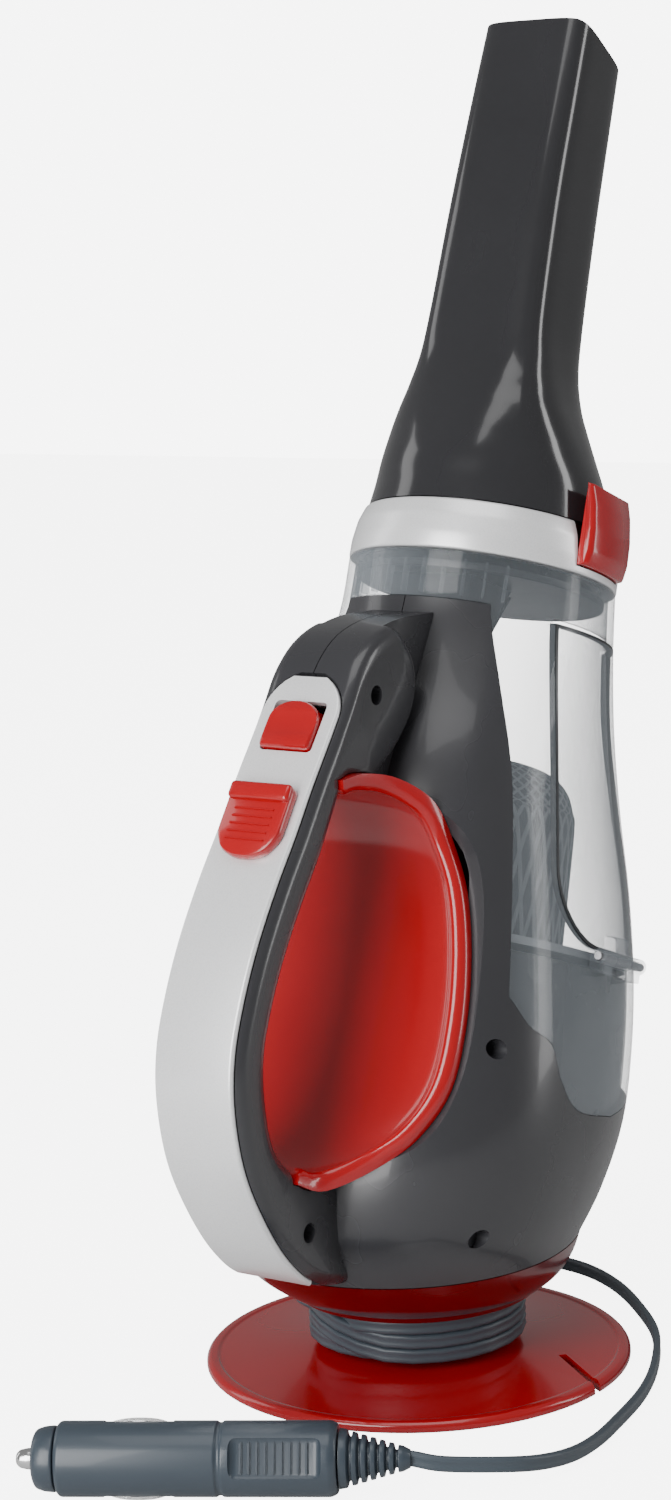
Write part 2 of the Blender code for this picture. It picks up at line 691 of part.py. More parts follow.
def make_ring():
    profile = [(39.4, RING_HEIGHT), (41.2, 11.5), (42.1, 5.5), (42.2, GAP), (37.4, GAP),
               (37.4, RING_HEIGHT)]
    ring = turned("collar_ring", profile, SILVER, tool_matrix(), steps=48, ring=True)
    combine(ring, box("ring_notch", (36.0, -CATCH_WIDTH / 2 - GAP, 2.4),
                      (50.0, CATCH_WIDTH / 2 + GAP, 30.0), matrix=tool_matrix(turn=-CATCH_TURN)))
    freeze(ring)

    outline = [(39.8, 2.8), (43.6, 3.2), (44.4, 8.0), (44.2, 15.0), (42.9, 23.0), (41.6, 28.5),
               (39.9, 28.5)]
    half = CATCH_WIDTH / 2
    rings = [[(x, y, z) for x, z in outline] for y in (-half, half)]
    catch = loft("door_catch", rings, RED, tool_matrix(turn=-CATCH_TURN))
    well = tool_matrix(w=10.0, turn=-CATCH_TURN) @ Matrix.Rotation(math.radians(90), 4, "Y")
    combine(catch, cylinder("catch_well", 3.1, 30.0, 42.6, matrix=well, steps=16))
    freeze(catch)
    spring("catch_spring", 2.3, 0.35, 37.9, 40.6, 3, well)


def spring(name, radius, wire, low, high, turns, matrix):
    """A compression spring between two levels along the local Z."""
    points = []
    steps = turns * 8
    for k in range(steps + 1):
        angle = 2 * math.pi * k / 8
        height = low + wire + (high - low - 2 * wire) * k / steps
        points.append((radius * math.cos(angle), radius * math.sin(angle), height))
    tube = cord_tube(name, points, wire, STEEL)
    tube.data.bevel_resolution = 1
    tube.matrix_world = matrix
    return tube


# (level, centre across, half depth, half width, squareness)
NOZZLE_SECTIONS = [
    (16.8, 0.0, 38.6, 38.6, 2.0), (24.0, -0.8, 37.0, 37.2, 2.0), (32.0, -2.8, 34.2, 35.0, 2.1),
    (40.0, -5.2, 30.0, 32.0, 2.3), (48.0, -7.2, 25.6, 28.6, 2.7), (56.0, -8.4, 22.0, 25.4, 3.2),
    (66.0, -8.8, 19.2, 22.7, 4.0), (80.0, -8.8, 18.2, 21.0, 5.0), (115.0, -8.4, 17.8, 20.0, 5.0),
    (150.0, -7.0, 16.8, 19.4, 5.0), (178.0, -5.6, 16.0, 18.8, 5.0),
]


def nozzle_ring(section, inset, count=32):
    level, centre, depth, width, square = section
    ring = []
    for k in range(count):
        angle = 2 * math.pi * (k + 0.5) / count
        c, s = math.cos(angle), math.sin(angle)
        u = centre + math.copysign(abs(c) ** (2 / square), c) * (depth - inset)
        v = math.copysign(abs(s) ** (2 / square), s) * (width - inset)
        ring.append(tuple(tool_point(u, v, level)))
    return ring


def make_nozzle():
    outer = loft("nozzle", [nozzle_ring(section, 0.0) for section in NOZZLE_SECTIONS], CHARCOAL)
    combine(outer, cylinder("nozzle_spigot", 37.0, 0.8, 20.0, matrix=tool_matrix(), steps=32), "UNION")
    hollow = loft("nozzle_hollow", [nozzle_ring(section, NOZZLE_WALL) for section in NOZZLE_SECTIONS])
    combine(hollow, cylinder("spigot_hollow", 34.6, -3.0, 22.0, matrix=tool_matrix(), steps=32), "UNION")
    hollow = freeze(hollow)
    mouth = slab("mouth_cut", [(-45.0, NOZZLE_END), (-20.0, NOZZLE_END), (12.0, NOZZLE_END - 9.0),
                               (40.0, NOZZLE_END - 20.0), (40.0, 210.0), (-45.0, 210.0)],
                 -50, 50, lean=True)
    combine(outer, hollow)
    combine(outer, mouth)
    freeze(outer)

    wedge = [(-29.0, -4.0), (-29.0, -36.0), (-24.0, -36.0), (-4.0, -4.0)]
    duct = slab("duct_wedge", wedge, -14.0, 14.0, lean=True)
    plate = cylinder("inlet_duct", 39.0, -5.0, -2.6, SMOKE, tool_matrix(), steps=32)
    combine(plate, duct, "UNION")
    bore = [(-27.0, 5.0), (-27.0, -32.0), (-15.0, -32.0), (10.0, -5.8), (-5.5, -5.8), (-5.5, 5.0)]
    combine(plate, slab("duct_bore", bore, -12.0, 12.0, lean=True))
    freeze(plate)
    flap = [(-4.2, -6.4), (-21.6, -34.0), (-20.3, -34.6), (-2.6, -6.4)]
    slab("inlet_flap", flap, -13.2, 13.2, RUBBER, lean=True)


# ---------------------------------------------------------------- filter, fan and motor

def make_filter():
    level = SEAT_LEVEL
    turned("filter_seal", [(28.0, level + 1.9), (28.0, level + GAP), (24.0, level + GAP),
                           (24.0, level + 1.9)], RUBBER, tool_matrix(FILTER_OFFSET), steps=32, ring=True)
    frame = egg("filter_frame", [BOWL_WALL + 0.7] * 10, GREY)
    slice_outline = [(SPINE_FACE + 2 * GAP, level + 2.2), (95.0, level + 2.2), (95.0, level + 4.6),
                     (SPINE_FACE + 2 * GAP, level + 4.6)]
    combine(frame, slab("flange_slice", slice_outline, -95, 95, lean=True), "INTERSECT")
    axis = tool_matrix(FILTER_OFFSET)
    collar = cylinder("frame_collar", FILTER_RADIUS - 1.9, level + 3.0, level + 12.0, matrix=axis, steps=32)
    combine(frame, collar, "UNION")
    combine(frame, cylinder("frame_bore", FILTER_RADIUS - 3.6, level - 5, level + 20, matrix=axis, steps=32))
    freeze(frame)

    base, top = level + 4.9, level + 4.9 + FILTER_HEIGHT
    radius = FILTER_RADIUS
    dome = [(0.0, top), (radius * 0.55, top - 1.5), (radius * 0.82, top - 7.0), (radius * 0.94, top - 17.0),
            (radius, base), (radius - 1.1, base), (radius * 0.94 - 1.2, top - 17.5),
            (radius * 0.82 - 1.2, top - 8.0), (radius * 0.55 - 0.8, top - 3.0), (0.0, top - 1.6)]
    turned("filter_mesh", dome, GREY, axis, steps=32)

    folds = 14
    star = []
    for k in range(folds * 2):
        angle = math.pi * k / folds
        reach = 26.0 if k % 2 else 20.0
        star.append((reach * math.cos(angle), reach * math.sin(angle)))
    rings = [[(x, y, z) for x, y in star] for z in (level + 6.0, level + 46.0)]
    pleats = loft("inner_filter", rings, FLEECE, axis)
    combine(pleats, cylinder("pleat_bore", 14.0, level, level + 42.0, matrix=axis, steps=20))
    freeze(pleats)


def make_motor():
    axis = tool_matrix(STACK_OFFSET)
    top = SEAT_LEVEL - 2.4 - GAP
    housing = FAN_HOUSING_RADIUS
    floor = top - 22.0
    turned("fan_cover", [(housing, top), (housing, floor), (housing - 2.0, floor),
                         (housing - 2.0, top - 2.0), (13.0, top - 2.0), (13.0, top)],
           GREY, axis, steps=32, ring=True)
    turned("fan_base", [(housing - 2.4, floor + 2.4), (housing - 2.4, floor), (5.2, floor),
                        (5.2, floor + 2.4)], GREY, axis, steps=32, ring=True)
    turned("front_bearing", [(4.9, floor + 3.0), (4.9, floor - 1.2), (SHAFT_RADIUS + GAP, floor - 1.2),
                             (SHAFT_RADIUS + GAP, floor + 3.0)], STEEL, axis, steps=16, ring=True)

    disc_top = floor + 7.0
    fan = cylinder("fan_impeller", FAN_RADIUS, disc_top - 1.6, disc_top, GREY, axis, steps=28)
    combine(fan, cylinder("fan_hub", 6.0, disc_top - 1.0, disc_top + 9.0, matrix=axis, steps=16), "UNION")
    for k in range(7):
        blade = axis @ Matrix.Rotation(2 * math.pi * k / 7, 4, "Z") @ Matrix.Rotation(-0.35, 4, "Z")
        combine(fan, box("blade_%d" % k, (5.0, 1.4, disc_top - 0.8), (FAN_RADIUS - 2.0, 2.8, disc_top + 8.0),
                         matrix=blade), "UNION")
    combine(fan, cylinder("fan_bore", SHAFT_RADIUS + GAP, floor, top, matrix=axis, steps=12))
    freeze(fan)

    can_top = floor - 2.0
    can_foot = can_top - 46.0
    radius = MOTOR_RADIUS
    turned("motor_can", [(radius, can_top), (radius, can_foot), (radius - 1.4, can_foot),
                         (radius - 1.4, can_top - 1.4), (5.4, can_top - 1.4), (5.4, can_top)],
           STEEL, axis, steps=24, ring=True)
    turned("motor_end_cap", [(radius - 1.8, can_foot + 3.0), (radius - 1.8, can_foot - 0.4),
                             (radius - 0.6, can_foot - 0.4), (radius - 0.6, can_foot - 4.0),
                             (4.2, can_foot - 4.0), (4.2, can_foot + 3.0)],
           CHARCOAL, axis, steps=24, ring=True)
    turned("rear_bearing", [(3.9, can_foot + 2.6), (3.9, can_foot - 3.6), (SHAFT_RADIUS + GAP, can_foot - 3.6),
                            (SHAFT_RADIUS + GAP, can_foot + 2.6)], STEEL, axis, steps=16, ring=True)
    turned("motor_armature", [(12.0, can_top - 8.0), (12.0, can_foot + 12.0), (SHAFT_RADIUS + GAP, can_foot + 12.0),
                              (SHAFT_RADIUS + GAP, can_top - 8.0)], STEEL, axis, steps=20, ring=True)
    turned("motor_magnets", [(radius - 1.8, can_top - 6.0), (radius - 1.8, can_foot + 10.0),
                             (radius - 4.6, can_foot + 10.0), (radius - 4.6, can_top - 6.0)],
           STEEL, axis, steps=20, ring=True)
    cylinder("motor_shaft", SHAFT_RADIUS, can_foot - 6.0, disc_top + 11.0, STEEL, axis, steps=12)
    turned("motor_mount", [(radius + 6.0, can_foot + 22.0), (radius + 6.0, can_foot + 14.0),
                           (radius + GAP, can_foot + 14.0), (radius + GAP, can_foot + 22.0)],
           RUBBER, axis, steps=24, ring=True)


# ---------------------------------------------------------------- handle controls and fixings

def make_controls():
    place = strip_matrix(207.0)
    wide, tall = BUTTON_SIZE[0] / 2, BUTTON_SIZE[1] / 2
    button = box("release_button", (-wide, -tall, -6.5), (wide, tall, 3.0), RED, place)
    combine(button, box("button_flange", (-wide - 1.6, -tall - 1.5, -8.2), (wide + 1.6, tall + 1.5, -6.3),
                        matrix=place), "UNION")
    freeze(button)
    spring("button_spring", 2.6, 0.4, -13.6, -11.0, 2, place)

    place = strip_matrix(181.0)
    wide, tall = SLIDER_SIZE[0] / 2, SLIDER_SIZE[1] / 2
    slider = box("power_slider", (-wide, -tall, 1.1), (wide, tall, 4.4), RED, place)
    combine(slider, box("slider_ledge", (-wide, tall - 5.0, 4.0), (wide, tall, 6.0), matrix=place), "UNION")
    combine(slider, box("slider_stem", (-4.6, -5.0, -5.4), (4.6, 5.0, 2.0), matrix=place), "UNION")
    freeze(slider)
    box("switch_body", (-5.0, -7.0, -10.6), (5.0, 13.0, -6.0), CHARCOAL, place)

    for k, (x, z) in enumerate(BODY_SCREWS):
        reach = SCREW_REACH[k]
        place = across(x, z)
        head = -(reach - 5.5)
        profile = [(0.0, 8.0), (1.0, 7.0), (1.6, 6.0), (1.6, head), (2.6, head), (2.6, head - 1.8),
                   (0.0, head - 1.8)]
        turned("body_screw_%d" % (k + 1), profile, STEEL, place, steps=12)


def make_plug():
    body = plug_matrix(0.0)
    nose, front = 5.0, 12.0
    back = front + PLUG_LENGTH
    radius = PLUG_RADIUS
    shell = turned("plug_body", [(0.0, back), (9.4, back), (radius, back - 1.2), (radius, front + 1.0),
                                 (radius - 1.0, front), (5.4, front), (5.4, front + 56.0),
                                 (0.0, front + 56.0)], SLATE, body, steps=28)
    for name, turn in (("plug_contact_upper", 70.0), ("plug_contact_lower", 250.0)):
        side = body @ Matrix.Rotation(math.radians(turn), 4, "Z")
        combine(shell, box(name + "_slot", (4.0, -2.6, front + 13.0), (14.0, 2.6, front + 33.0), matrix=side))
        leaf = [(6.2, front + 14.0), (10.0, front + 14.0), (11.2, front + 20.0), (11.2, front + 26.0),
                (10.0, front + 32.0), (6.2, front + 32.0)]
        rings = [[(x, y, z) for x, z in leaf] for y in (-1.8, 1.8)]
        loft(name, rings, STEEL, side)
    freeze(shell)
    turned("plug_nose", [(9.0, front - GAP), (8.6, nose + 2.0), (6.4, nose), (3.4, nose),
                         (3.4, front - GAP)], SLATE, body, steps=24, ring=True)
    turned("plug_tip", [(0.0, front + 6.0), (4.6, front + 6.0), (4.6, front + 0.6), (3.0, front + 0.6),
                        (3.0, 3.0), (1.8, 0.0), (0.0, 0.0)], STEEL, body, steps=20)
    spring("plug_spring", 3.2, 0.4, front + 9.6, front + 16.0, 3, body)
    cylinder("plug_fuse", 3.1, front + 17.0, front + 47.0, GLASS, body, steps=16)
    relief = back + GAP
    ring_count = 6
    profile = [(0.0, relief + RELIEF_LENGTH - GAP), (2.6, relief + RELIEF_LENGTH - GAP)]
    for k in range(ring_count):
        z = relief + RELIEF_LENGTH * (1 - (k + 1) / (ring_count + 1))
        reach = 3.0 + 4.2 * (k + 1) / (ring_count + 1)
        profile += [(reach, z + 0.9), (reach, z - 0.6)]
    profile += [(7.6, relief), (0.0, relief)]
    turned("plug_strain_relief", profile, SLATE, body, steps=20)


def main():
    make_body()
    make_liner()
    strip = strip_piece("grip_strip", STRIP_HALF, STRIP_DEPTH, STRIP_PROUD, 48.2, 215.0, SILVER)
    combine(strip, box("strip_button_window", (-9.0, -8.25, -8.0), (9.0, 8.25, 4.0),
                       matrix=strip_matrix(207.0)))
    combine(strip, box("strip_slot", (-5.4, -6.0, -8.0), (5.4, 11.0, 4.0), matrix=strip_matrix(181.0)))
    freeze(strip)
    make_base()
    make_bowl()
    make_ring()
    make_nozzle()
    make_filter()
    make_motor()
    make_controls()
    make_plug()


for old in list(bpy.data.objects):
    bpy.data.objects.remove(old)
PARTS = make_collection("handheld_vacuum")
CUTTERS = make_collection("cutters")
CHARCOAL = make_material("charcoal_abs", (0.045, 0.045, 0.047), 0.3)
RED = make_material("red_abs", (0.6, 0.012, 0.016), 0.25)
SILVER = make_material("silver_lacquer", (0.72, 0.73, 0.74), 0.35, 0.4)
GREY = make_material("grey_abs", (0.45, 0.46, 0.47), 0.4)
SMOKE = make_material("smoke_abs", (0.08, 0.085, 0.09), 0.3)
CLEAR = make_material("clear_polycarbonate", (0.7, 0.72, 0.74), 0.05, 0.0, 0.35)
RUBBER = make_material("black_rubber", (0.02, 0.02, 0.02), 0.8)
FLEECE = make_material("filter_fleece", (0.8, 0.8, 0.78), 0.95)
STEEL = make_material("plated_steel", (0.6, 0.6, 0.6), 0.25, 1.0)
CORD = make_material("cord_pvc", (0.045, 0.055, 0.065), 0.5)
SLATE = make_material("slate_abs", (0.04, 0.055, 0.07), 0.45)
GLASS = make_material("fuse_glass", (0.8, 0.85, 0.85), 0.05)
main()
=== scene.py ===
import math

import bmesh
import bpy
from mathutils import Matrix, Vector


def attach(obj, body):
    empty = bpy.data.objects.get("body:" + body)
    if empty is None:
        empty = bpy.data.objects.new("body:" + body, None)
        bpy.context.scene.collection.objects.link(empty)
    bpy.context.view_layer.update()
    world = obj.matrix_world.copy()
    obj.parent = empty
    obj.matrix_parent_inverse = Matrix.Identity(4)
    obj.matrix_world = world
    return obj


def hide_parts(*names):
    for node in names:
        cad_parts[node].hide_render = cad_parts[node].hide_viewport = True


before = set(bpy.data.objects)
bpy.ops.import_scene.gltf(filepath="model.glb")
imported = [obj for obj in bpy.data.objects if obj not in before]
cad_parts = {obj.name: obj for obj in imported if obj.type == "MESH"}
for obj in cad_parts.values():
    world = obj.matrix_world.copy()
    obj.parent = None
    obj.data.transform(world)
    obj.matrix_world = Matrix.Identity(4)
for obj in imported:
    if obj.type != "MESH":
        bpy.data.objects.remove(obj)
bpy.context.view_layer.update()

mm = 0.001
roundSteps = 128     # faces round a turned piece

# the leaning upper tool and its clearance; lengths in the dictionaries are millimetres
tool = {"ringX": 52.0, "ringZ": 237.5, "lean": math.radians(20.0), "gap": 0.3}


def toolPoint(across, side, along):
    lean = tool["lean"]
    return Vector((tool["ringX"] + across * math.cos(lean) + along * math.sin(lean), side,
                   tool["ringZ"] - across * math.sin(lean) + along * math.cos(lean)))


def toolFrame(across=0.0, side=0.0, along=0.0, turn=0.0):
    place = Matrix.Translation(toolPoint(across, side, along) * mm)
    return place @ Matrix.Rotation(tool["lean"], 4, "Y") @ Matrix.Rotation(turn, 4, "Z")


def sideFrame(x, z):     # local Z runs across the object
    return Matrix.Translation(Vector((x, 0.0, z)) * mm) @ Matrix.Rotation(math.radians(-90), 4, "X")


# the camera: angles in degrees, focal length in millimetres, place in metres
view = {"turn": 34.12, "down": 9.6, "roll": -2.2, "focal": 77.1,
        "place": (-0.8026, -0.5212, 0.354)}


def shown(thing):
    bpy.context.scene.collection.objects.link(thing)
    return thing


def setCamera():
    turn, down = math.radians(view["turn"]), math.radians(view["down"])
    ahead = Vector((math.cos(turn) * math.cos(down), math.sin(turn) * math.cos(down), -math.sin(down)))
    right = ahead.cross(Vector((0.0, 0.0, 1.0))).normalized()
    up = right.cross(ahead)
    roll = math.radians(view["roll"])
    sideways = right * math.cos(roll) + up * math.sin(roll)
    upwards = up * math.cos(roll) - right * math.sin(roll)
    data = bpy.data.cameras.new("camera")
    data.sensor_fit = "VERTICAL"
    data.sensor_height = 36.0
    data.lens = view["focal"]
    data.clip_start = 0.01
    camera = shown(bpy.data.objects.new("camera", data))
    basis = Matrix((sideways, upwards, -ahead)).transposed().to_4x4()
    camera.matrix_world = Matrix.Translation(Vector(view["place"])) @ basis
    bpy.context.scene.camera = camera


setCamera()


def linear(hexColour):
    parts = [int(hexColour[i:i + 2], 16) / 255 for i in (1, 3, 5)]
    return tuple(c / 12.92 if c <= 0.04045 else ((c + 0.055) / 1.055) ** 2.4 for c in parts) + (1.0,)


def addNode(tree, kind, values=None, **settings):
    node = tree.nodes.new(kind)
    for key, value in settings.items():
        setattr(node, key, value)
    for key, value in (values or {}).items():
        if isinstance(value, tuple) and isinstance(value[0], bpy.types.Node):
            tree.links.new(value[0].outputs[value[1]], node.inputs[key])
        else:
            node.inputs[key].default_value = value
    return node


def newMaterial(name):
    material = bpy.data.materials.new(name)
    material.use_nodes = True
    tree = material.node_tree
    tree.nodes.clear()
    return material, tree


def blend(tree, share, first, second):     # the first colour where the share is 0
    return addNode(tree, "ShaderNodeMix", {0: share, 6: linear(first), 7: linear(second)},
                   data_type="RGBA")


def relief(tree, height, strength, depth, **settings):     # depth in millimetres
    return addNode(tree, "ShaderNodeBump", {"Height": height, "Strength": strength,
                                            "Distance": depth * mm}, **settings)


def surfaced(material, tree, values):     # every material ends with one shader and the output
    shader = addNode(tree, "ShaderNodeBsdfPrincipled", values)
    addNode(tree, "ShaderNodeOutputMaterial", {"Surface": (shader, "BSDF")})
    return material


# injection-moulded ABS: a smooth skin with the faint grain of the mould and a slow drift of colour;
# grain is its spacing in mm
def moulded(name, colour, dark, roughness, grain=0.4, depth=0.02, coat=0.0, blotch=40.0, spread=0.03):
    material, tree = newMaterial(name)
    place = addNode(tree, "ShaderNodeTexCoord")
    slow = addNode(tree, "ShaderNodeTexNoise", {"Vector": (place, "Object"), "Scale": 1000.0 / blotch,
                                                "Detail": 3.0})
    fineNoise = addNode(tree, "ShaderNodeTexNoise", {"Vector": (place, "Object"),
                                                     "Scale": 1000.0 / grain, "Detail": 2.0})
    tint = blend(tree, (slow, "Fac"), dark, colour)
    rough = addNode(tree, "ShaderNodeMapRange", {"Value": (slow, "Fac"), "From Min": 0.1,
                                                 "From Max": 0.9, "To Min": roughness - spread,
                                                 "To Max": roughness + spread})
    bump = relief(tree, (fineNoise, "Fac"), 0.25, depth)
    return surfaced(material, tree, {
        "Base Color": (tint, 2), "Roughness": (rough, "Result"), "Normal": (bump, "Normal"),
        "IOR": 1.5, "Coat Weight": coat, "Coat Roughness": 0.06})


def plated(name, colour, roughness, scratch=0.15):     # bright plated steel with fine drawn lines
    material, tree = newMaterial(name)
    place = addNode(tree, "ShaderNodeTexCoord")
    stretch = addNode(tree, "ShaderNodeMapping", {"Vector": (place, "Object"),
                                                  "Scale": (1.0, 1.0, 12.0)})
    lines = addNode(tree, "ShaderNodeTexNoise", {"Vector": (stretch, "Vector"),
                                                 "Scale": 1000.0 / scratch / 8, "Detail": 2.0})
    rough = addNode(tree, "ShaderNodeMapRange", {"Value": (lines, "Fac"), "To Min": roughness * 0.6,
                                                 "To Max": roughness * 1.4})
    return surfaced(material, tree, {
        "Base Color": linear(colour), "Metallic": 1.0, "Roughness": (rough, "Result")})


# clear polycarbonate: see-through face on, darker and glossier where the wall is seen edge on
def clearPlastic(name, colour, faceOn, edgeOn):
    material, tree = newMaterial(name)
    place = addNode(tree, "ShaderNodeTexCoord")
    ripple = addNode(tree, "ShaderNodeTexNoise", {"Vector": (place, "Object"), "Scale": 60.0})
    bump = relief(tree, (ripple, "Fac"), 0.08, 0.2)
    edge = addNode(tree, "ShaderNodeLayerWeight", {"Blend": 0.35})
    cover = addNode(tree, "ShaderNodeMapRange", {"Value": (edge, "Facing"), "To Min": faceOn,
                                                 "To Max": edgeOn})
    return surfaced(material, tree, {
        "Base Color": linear(colour), "Roughness": 0.06, "IOR": 1.58, "Alpha": (cover, "Result"),
        "Normal": (bump, "Normal")})


# painted silver: metal flake in a satin lacquer; the flakes are drawn at 0.5 mm so that they show
def lacquered(name, colour, dark):
    material, tree = newMaterial(name)
    place = addNode(tree, "ShaderNodeTexCoord")
    flake = addNode(tree, "ShaderNodeTexVoronoi", {"Vector": (place, "Object"), "Scale": 1000.0 / 0.5})
    tint = blend(tree, (flake, "Distance"), colour, dark)
    bump = relief(tree, (flake, "Distance"), 0.05, 0.01)
    return surfaced(material, tree, {
        "Base Color": (tint, 2), "Metallic": 0.35, "Roughness": 0.33, "Normal": (bump, "Normal"),
        "Coat Weight": 0.25, "Coat Roughness": 0.1})


# moulded filter screen: diamonds about 2.6 mm across, drawn from the piece's own UV map
def screen(name, bright, dark, across, along):
    material, tree = newMaterial(name)
    place = addNode(tree, "ShaderNodeUVMap", uv_map="surface")
    lines = []
    for turn in (1.0, -1.0):
        scaled = addNode(tree, "ShaderNodeMapping", {"Vector": (place, "UV"),
                                                     "Scale": (across, along * turn, 1.0)})
        split = addNode(tree, "ShaderNodeSeparateXYZ", {0: (scaled, "Vector")})
        total = addNode(tree, "ShaderNodeMath", {0: (split, "X"), 1: (split, "Y")}, operation="ADD")
        wave = addNode(tree, "ShaderNodeMath", {0: (total, 0), 1: 1.0}, operation="PINGPONG")
        lines.append(wave)
    nearest = addNode(tree, "ShaderNodeMath", {0: (lines[0], 0), 1: (lines[1], 0)}, operation="MINIMUM")
    thread = addNode(tree, "ShaderNodeMapRange", {"Value": (nearest, 0), "From Min": 0.22,
                                                  "From Max": 0.4})
    tint = blend(tree, (thread, "Result"), bright, dark)
    bump = relief(tree, (thread, "Result"), 0.6, 0.4, invert=True)
    return surfaced(material, tree, {
        "Base Color": (tint, 2), "Roughness": 0.55, "Normal": (bump, "Normal")})


def fleece(name, colour, dark):     # pressed fibre sheet, fibres about 0.3 mm
    material, tree = newMaterial(name)
    place = addNode(tree, "ShaderNodeTexCoord")
    fibre = addNode(tree, "ShaderNodeTexNoise", {"Vector": (place, "Object"), "Scale": 1000.0 / 0.3,
                                                 "Detail": 4.0, "Distortion": 1.5})
    tint = blend(tree, (fibre, "Fac"), dark, colour)
    bump = relief(tree, (fibre, "Fac"), 0.5, 0.1)
    return surfaced(material, tree, {
        "Base Color": (tint, 2), "Roughness": 0.95, "Sheen Weight": 0.3, "Normal": (bump, "Normal")})


looks = {
    "nozzleGloss": moulded("gloss_abs_charcoal", "#2b2b2e", "#232325", 0.16, 3.0, 0.02, 0.4),
    "bodyGloss": moulded("satin_abs_charcoal", "#353538", "#2d2d30", 0.27, 0.5, 0.02, 0.3),
    "red": moulded("gloss_abs_red", "#b0000c", "#9c000a", 0.22, 2.0, 0.02, 0.5),
    # a darker copy of the red for the end cap, which is the same red plastic as the disc: painted shade
    "redPaintedShade": moulded("gloss_abs_red_painted_shade", "#6c0208", "#560106", 0.2, 2.0, 0.02, 0.5),
    "silver": lacquered("silver_lacquer", "#f7f7f8", "#eaebec"),
    "clear": clearPlastic("clear_polycarbonate", "#8f969c", 0.13, 0.8),
    "smoke": moulded("smoke_abs", "#26282b", "#1f2124", 0.3, 0.6),
    "grey": moulded("matt_abs_grey", "#7f858a", "#71777c", 0.5, 0.6),
    "paleGrey": moulded("matt_abs_pale_grey", "#b4babf", "#a4aab0", 0.45, 0.6),
    "screen": screen("filter_screen", "#8f959a", "#4d5257", 80.0, 24.0),
    "fleece": fleece("filter_fleece", "#e8e8e2", "#c9c9c2"),
    "rubber": moulded("black_rubber", "#1b1b1c", "#141415", 0.75, 0.3, 0.05),
    "cord": moulded("cord_pvc", "#454e56", "#3a434b", 0.42, 0.8, 0.02),
    "slate": moulded("slate_abs", "#3a444d", "#323b44", 0.36, 0.5, 0.03, 0.15),
    "chrome": plated("bright_nickel", "#e3e3e3", 0.14),
    "steel": plated("zinc_steel", "#b9b9bb", 0.3),
    "darkSteel": plated("blackened_steel", "#4c4c50", 0.35),
    "fuseGlass": clearPlastic("fuse_glass", "#d5dcdc", 0.2, 0.8),
}
print("materials made")


def catmull(points, steps):
    points = [Vector(p) for p in points]
    ends = [2 * points[0] - points[1]] + points + [2 * points[-1] - points[-2]]
    result = []
    for i in range(1, len(ends) - 2):
        a, b, c, d = ends[i - 1:i + 3]
        for k in range(steps):
            t = k / steps
            result.append(0.5 * (2 * b + (c - a) * t + (2 * a - 5 * b + 4 * c - d) * t ** 2
                                 + (3 * b - a - 3 * c + d) * t ** 3))
    result.append(points[-1])
    return result


def smoothRows(rows, steps):     # the same spline through rows of plain numbers
    result = []
    count = len(rows)
    for i in range(count - 1):
        a, b, c, d = rows[max(i - 1, 0)], rows[i], rows[i + 1], rows[min(i + 2, count - 1)]
        for k in range(steps):
            t = k / steps
            result.append([0.5 * (2 * q + (r - p) * t + (2 * p - 5 * q + 4 * r - s) * t ** 2
                                  + (3 * q - p - 3 * r + s) * t ** 3)
                           for p, q, r, s in zip(a, b, c, d)])
    result.append(list(rows[-1]))
    return result


def filleted(profile, radius, steps=4, closed=False):     # rounds each corner of a flat outline
    points = [Vector(p) for p in profile]
    count = len(points)
    result = []
    for i, corner in enumerate(points):
        if not closed and i in (0, count - 1):
            result.append(corner)
            continue
        before, after = points[i - 1], points[(i + 1) % count]
        reach = min(radius, (before - corner).length * 0.45, (after - corner).length * 0.45)
        start = corner + (before - corner).normalized() * reach
        end = corner + (after - corner).normalized() * reach
        for k in range(steps + 1):
            t = k / steps
            result.append(start * (1 - t) ** 2 + corner * 2 * t * (1 - t) + end * t ** 2)
    return result


def runAt(points, i):     # the direction of a path at one of its points
    return (points[min(i + 1, len(points) - 1)] - points[max(i - 1, 0)]).normalized()


def leftOf(run):
    return Vector((-run.y, run.x))


def arcPoints(x, y, radius, start, step, count):     # angles in degrees
    turns = [math.radians(start + step * k) for k in range(count)]
    return [(x + radius * math.cos(turn), y + radius * math.sin(turn)) for turn in turns]


def squared(value, power):     # turns a circle's cosine or sine into that of a squarer shape
    return math.copysign(abs(value) ** (2 / power), value)


def linked(name, bm, matrix=None, recalc=True):
    if recalc:
        bmesh.ops.recalc_face_normals(bm, faces=bm.faces)
    mesh = bpy.data.meshes.new(name)
    bm.to_mesh(mesh)
    bm.free()
    if matrix is not None:
        mesh.transform(matrix)
    return shown(bpy.data.objects.new(name, mesh))


def twin(name, piece):     # a second piece with the same shape
    return shown(bpy.data.objects.new(name, piece.data.copy()))


def skin(name, rings, matrix=None):     # a run of equal rings, capped at both ends
    bm = bmesh.new()
    surface = bm.loops.layers.uv.new("surface")
    loops = [[bm.verts.new(Vector(point) * mm) for point in ring] for ring in rings]
    rows = len(loops) - 1
    for row in range(rows):
        low, high = loops[row], loops[row + 1]
        for i in range(len(low)):
            j = (i + 1) % len(low)
            face = bm.faces.new((low[i], low[j], high[j], high[i]))
            spots = ((i, row), (i + 1, row), (i + 1, row + 1), (i, row + 1))
            for loop, (u, v) in zip(face.loops, spots):
                loop[surface].uv = (u / len(low), v / rows)
    bm.faces.new(list(reversed(loops[0])))
    bm.faces.new(loops[-1])
    return linked(name, bm, matrix)


